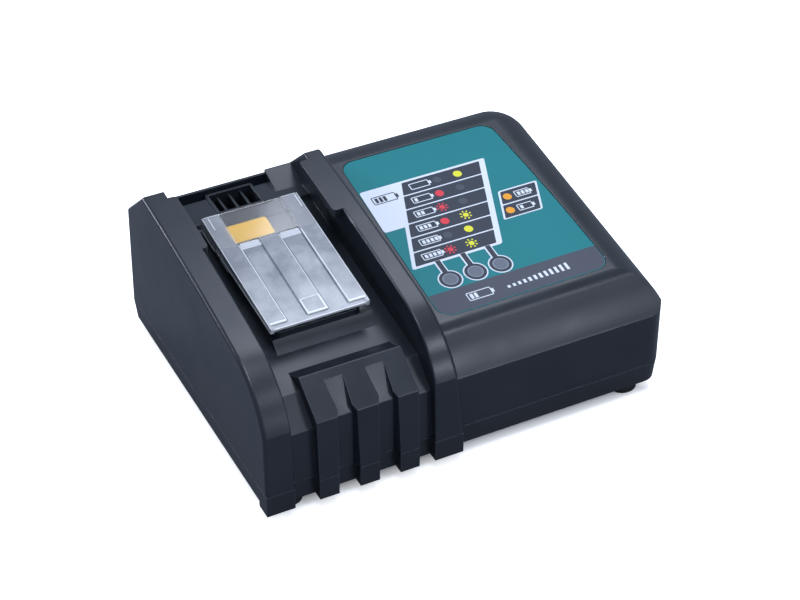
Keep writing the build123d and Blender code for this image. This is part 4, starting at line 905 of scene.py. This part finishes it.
for x, front, rear, thick, top in (
    (4.1, BAND_INNER_END, SHORT_END + SHORT / 2, 0.9, FRAME_TOP),
    (-4.2, BAND_INNER_END, SHORT_END - SHORT / 2, 0.7, RIDGE_TOP),
    (-14.1, BAND_INNER_END, LINE_REAR, 0.45, LINE_TOP),
    (SHORT_SIDE, SHORT_END + SHORT / 2, LINE_REAR, 0.35, LINE_TOP),
    (14.4, BAND_INNER_END, LINE_REAR, 0.5, LINE_TOP),
    (-19.6, RIDGE_FRONT, RIDGE_REAR, RIDGE, RIDGE_TOP),
    (13.7, RIDGE_FRONT, RIDGE_REAR, RIDGE, RIDGE_TOP),
    (20.8, RIDGE_FRONT, RIDGE_REAR, RIDGE, RIDGE_TOP),
):
    stroke(marks, (x, front), (x, rear), thick, (SUNK, top))
for x in (-RIM_SIDE, RIM_SIDE):
    stroke(marks, (x, RIM_FRONT), (x, RIM_REAR), RIM, RIM_HEIGHTS)
for y, thick, between in (
    (RIM_REAR + 0.1, REAR_RIM, RIM_HEIGHTS),
    (RIM_FRONT - 0.1, FRONT_RIM, (CHANNEL_FLOOR - 0.3, CHANNEL_FLOOR + 0.08)),
):
    stroke(marks, (-RIM_END_SIDE, y), (RIM_END_SIDE, y), thick, between)
new_piece("cover_marks", marks, BAY, cover_highlight, "cover")

# %% [markdown]
# Two channels lie between the bands. At its rear end each rises on a small ramp to the lid, and
# along its sides the ribs under the cover show as darker lines, which are painted shade in a
# grey finish.

# %% Ramps at the channels' rear ends
CHANNEL_MIDDLE = 9.2  # from the bay's middle
RAMP_FOOT, RAMP_HEAD = LINE_REAR - 2.4, LINE_REAR + 1.4
FOOT_HALF, HEAD_HALF = 4.6, 4.2
RAMP_RISE = 0.35
ramps = bmesh.new()
for x in (-CHANNEL_MIDDLE, CHANNEL_MIDDLE):
    foot = [(x - FOOT_HALF, RAMP_FOOT), (x + FOOT_HALF, RAMP_FOOT)]
    head = [(x + HEAD_HALF, RAMP_HEAD), (x - HEAD_HALF, RAMP_HEAD)]
    slab(ramps, foot + head, (CHANNEL_FLOOR - 0.1, CHANNEL_FLOOR + 0.1))
head_tops = [vert for vert in ramps.verts if vert.co.y > LINE_REAR and vert.co.z > CHANNEL_FLOOR]
bmesh.ops.translate(ramps, verts=head_tops, vec=(0, 0, RAMP_RISE))
new_piece("cover_ramps", ramps, BAY, ramp_clear, "cover")

# %% Painted shade lines over the ribs beside the bands
RIB_FRONT, RIB_REAR, RIB_THICK = BAND_END - 0.2, LINE_REAR - 1.5, 0.45
RIB_PLACES = (-13.55, -4.95, 4.95, 13.55)
RIB_HEIGHTS = (CHANNEL_FLOOR - 0.1, CHANNEL_FLOOR + 0.06)
ribs = bmesh.new()
for x in RIB_PLACES:
    stroke(ribs, (x, RIB_FRONT), (x, RIB_REAR), RIB_THICK, RIB_HEIGHTS)
new_piece("cover_painted_rib_shade", ribs, BAY, rib_shade, "cover")

# %% [markdown]
# The cover's skirt hangs down beside the terminal block, deeper at the rear. Its lower edge
# catches a highlight, painted here as a near-white line. That line is drawn flat, along and above
# the bay, and a matrix stands it upright on each side of the cover.

# %% Lower edges of the skirt, with their painted highlight
# Each place on the line is given along the bay and above it.
SKIRT_LINE = ((COVER_FRONT + 0.2, -2.2), (22.6, -4.4), (24.3, -6.2), (38.8, -6.2))
SKIRT_SIDE, SKIRT_EDGE, SKIRT_PROUD = 22.32, 0.4, 0.08
for side, name in ((-1, "left_skirt_edge"), (1, "right_skirt_edge")):
    edge_line = bmesh.new()
    for start, end in zip(SKIRT_LINE, SKIRT_LINE[1:]):
        stroke(edge_line, start, end, SKIRT_EDGE, (-SKIRT_PROUD, SKIRT_PROUD))
    upright = Matrix(((0, 0, 1, side * SKIRT_SIDE), (1, 0, 0, 0), (0, 1, 0, 0), (0, 0, 0, 1)))
    new_piece(name, edge_line, BAY @ upright, cover_highlight, "cover")

# %% [markdown]
# ## Stage: the white room
# Black plastic shows whatever surrounds it. In a room that is white all round, it would look grey
# and washed out. So only the camera, and rays that went through something clear, see the room as
# white. Reflections see a small share of that white, and otherwise a mid grey studio.

# %% Rays that see the white background
GLOSSY_SHARE = 0.05


def background_rays(tree):
    """1 for a ray from the camera or through something clear, a small share for a reflected one."""
    path = add(tree, "ShaderNodeLightPath").outputs
    clear = add(
        tree,
        "ShaderNodeMath",
        {"operation": "MAXIMUM"},
        {0: path["Is Camera Ray"], 1: path["Is Transmission Ray"]},
    ).outputs[0]
    glossy = add(
        tree,
        "ShaderNodeMath",
        {"operation": "MULTIPLY", 1: GLOSSY_SHARE},
        {0: path["Is Glossy Ray"]},
    ).outputs[0]
    return add(tree, "ShaderNodeMath", {"operation": "MAXIMUM"}, {0: clear, 1: glossy}).outputs[0]


# %% [markdown]
# The floor is a matt bench that keeps the charger's shadow. To the camera it also glows, which
# lifts it to white, but not right under the charger, where the glow fades out over a few
# millimetres. There the real bench is dark, and white would shine through the feet's gap and the
# fan's inlet.

# %% Floor
BENCH_GREY = "#747b87"
BENCH_SIZE = 6.0  # metres
GLOW = 0.8
GLOW_FADE = 12 * MM
INSET = 1 * MM  # how far inside the charger's outline the full glow starts
bpy.ops.mesh.primitive_plane_add(size=BENCH_SIZE, location=(0, 0, 0))
floor = bpy.context.object
floor.name = "floor"
bench, tree, shader, place = start_material(
    "white_floor", {"Roughness": 0.9, "Emission Color": (1, 1, 1, 1)}
)
seen = background_rays(tree)
tone = add(
    tree,
    "ShaderNodeMix",
    {"data_type": "RGBA", COLOUR_A: linear(BENCH_GREY), COLOUR_B: linear("#ffffff")},
    {0: seen},
).outputs[MIXED]
tree.links.new(tone, shader.inputs["Base Color"])
outside = []
across_and_along = add(tree, "ShaderNodeSeparateXYZ", links={0: place}).outputs[:2]
for half, value in zip(cad_box[1], across_and_along):
    far = add(tree, "ShaderNodeMath", {"operation": "ABSOLUTE"}, {0: value}).outputs[0]
    glow_start = {"From Min": half - INSET - GLOW_FADE, "From Max": half - INSET}
    outside.append(add(tree, "ShaderNodeMapRange", glow_start, {"Value": far}).outputs[0])
clear_of_charger = add(
    tree, "ShaderNodeMath", {"operation": "MAXIMUM"}, {0: outside[0], 1: outside[1]}
).outputs[0]
seen_clear = add(
    tree, "ShaderNodeMath", {"operation": "MULTIPLY"}, {0: seen, 1: clear_of_charger}
).outputs[0]
glow = add(tree, "ShaderNodeMath", {"operation": "MULTIPLY", 1: GLOW}, {0: seen_clear}).outputs[0]
tree.links.new(glow, shader.inputs["Emission Strength"])
floor.data.materials.append(bench)
print("floor's glow fades out under:", [round(half / MM, 1) for half in cad_box[1][:2]], "mm")

# %% [markdown]
# The world is what all other rays meet. A picture of a real room could light the charger too, but
# its windows and colours would show in the black plastic. An even, cool mid grey only fills the
# shadows, as a studio's walls would.

# %% World
STUDIO_AIR = (0.34, 0.40, 0.49, 1)  # linear, a mid grey that leans to blue
world = bpy.data.worlds.new("studio")
bpy.context.scene.world = world
world.use_nodes = True
tree = world.node_tree
tree.nodes.clear()
tone = add(
    tree,
    "ShaderNodeMix",
    {"data_type": "RGBA", COLOUR_A: STUDIO_AIR, COLOUR_B: (1, 1, 1, 1)},
    {0: background_rays(tree)},
).outputs[MIXED]
sky = add(tree, "ShaderNodeBackground", links={"Color": tone}).outputs[0]
add(tree, "ShaderNodeOutputWorld", links={"Surface": sky})
print("world:", world.name)

# %% [markdown]
# ## Lamps
# One big lamp would light every side alike. Five small soft boxes, each turned to the charger,
# give each large face its own tone instead: two behind and above for the bright tops and the left
# rail, one overhead for the bay, and two weak ones in front for the ribs and the chin. All are
# slightly cool.

# %% Soft boxes
LAMP_TARGET = Vector((0, 0, 0.04))
LAMP_COLOUR = "#e6eeff"


def area_lamp(name, place, size, power):
    """Square soft lamp at a place in metres, turned to the charger."""
    data = bpy.data.lights.new(name, "AREA")
    data.size = size
    data.energy = power
    data.color = linear(LAMP_COLOUR)[:3]
    lamp = bpy.data.objects.new(name, data)
    bpy.context.scene.collection.objects.link(lamp)
    aim = (LAMP_TARGET - Vector(place)).to_track_quat("-Z", "Y")
    lamp.matrix_world = Matrix.Translation(Vector(place)) @ aim.to_matrix().to_4x4()
    print(name, power, "W")


# Name, place in metres, side in metres, and power in watts.
area_lamp("rear_ceiling_softbox", (0.42, 0.48, 1.14), 0.5, 4.0)
area_lamp("left_rear_softbox", (-1.0, 1.1, 0.62), 0.3, 9.0)
area_lamp("top_softbox", (-0.1, -0.2, 1.3), 0.5, 7.0)
area_lamp("low_front_softbox", (0.45, -1.05, 0.28), 0.2, 1.8)
area_lamp("high_front_softbox", (0.5, -0.95, 0.95), 0.22, 2.4)

# %% [markdown]
# ## Camera
# A long lens, almost a metre away and looking down at 38 degrees from the left of the front. A
# short lens nearer by would show as much, but would spread the front corner and shrink the rear.

# %% Camera
LENS_MM, SENSOR_MM = 98.4, 36.0
CAMERA_PLACE = (-0.33634, -0.67679, 0.61726)  # metres
LOOK_DOWN, ROLL, LOOK_RIGHT = 37.73, 0.04, 26.64  # degrees
camera_data = bpy.data.cameras.new("camera")
camera_data.lens = LENS_MM
camera_data.sensor_width = SENSOR_MM
camera = bpy.data.objects.new("camera", camera_data)
bpy.context.scene.collection.objects.link(camera)
camera.location = CAMERA_PLACE
camera.rotation_euler = [math.radians(turn) for turn in (90 - LOOK_DOWN, ROLL, -LOOK_RIGHT)]
bpy.context.scene.camera = camera
bpy.context.scene.view_settings.view_transform = "Standard"
print("camera:", round(camera.location.length, 3), "m from the charger's foot")
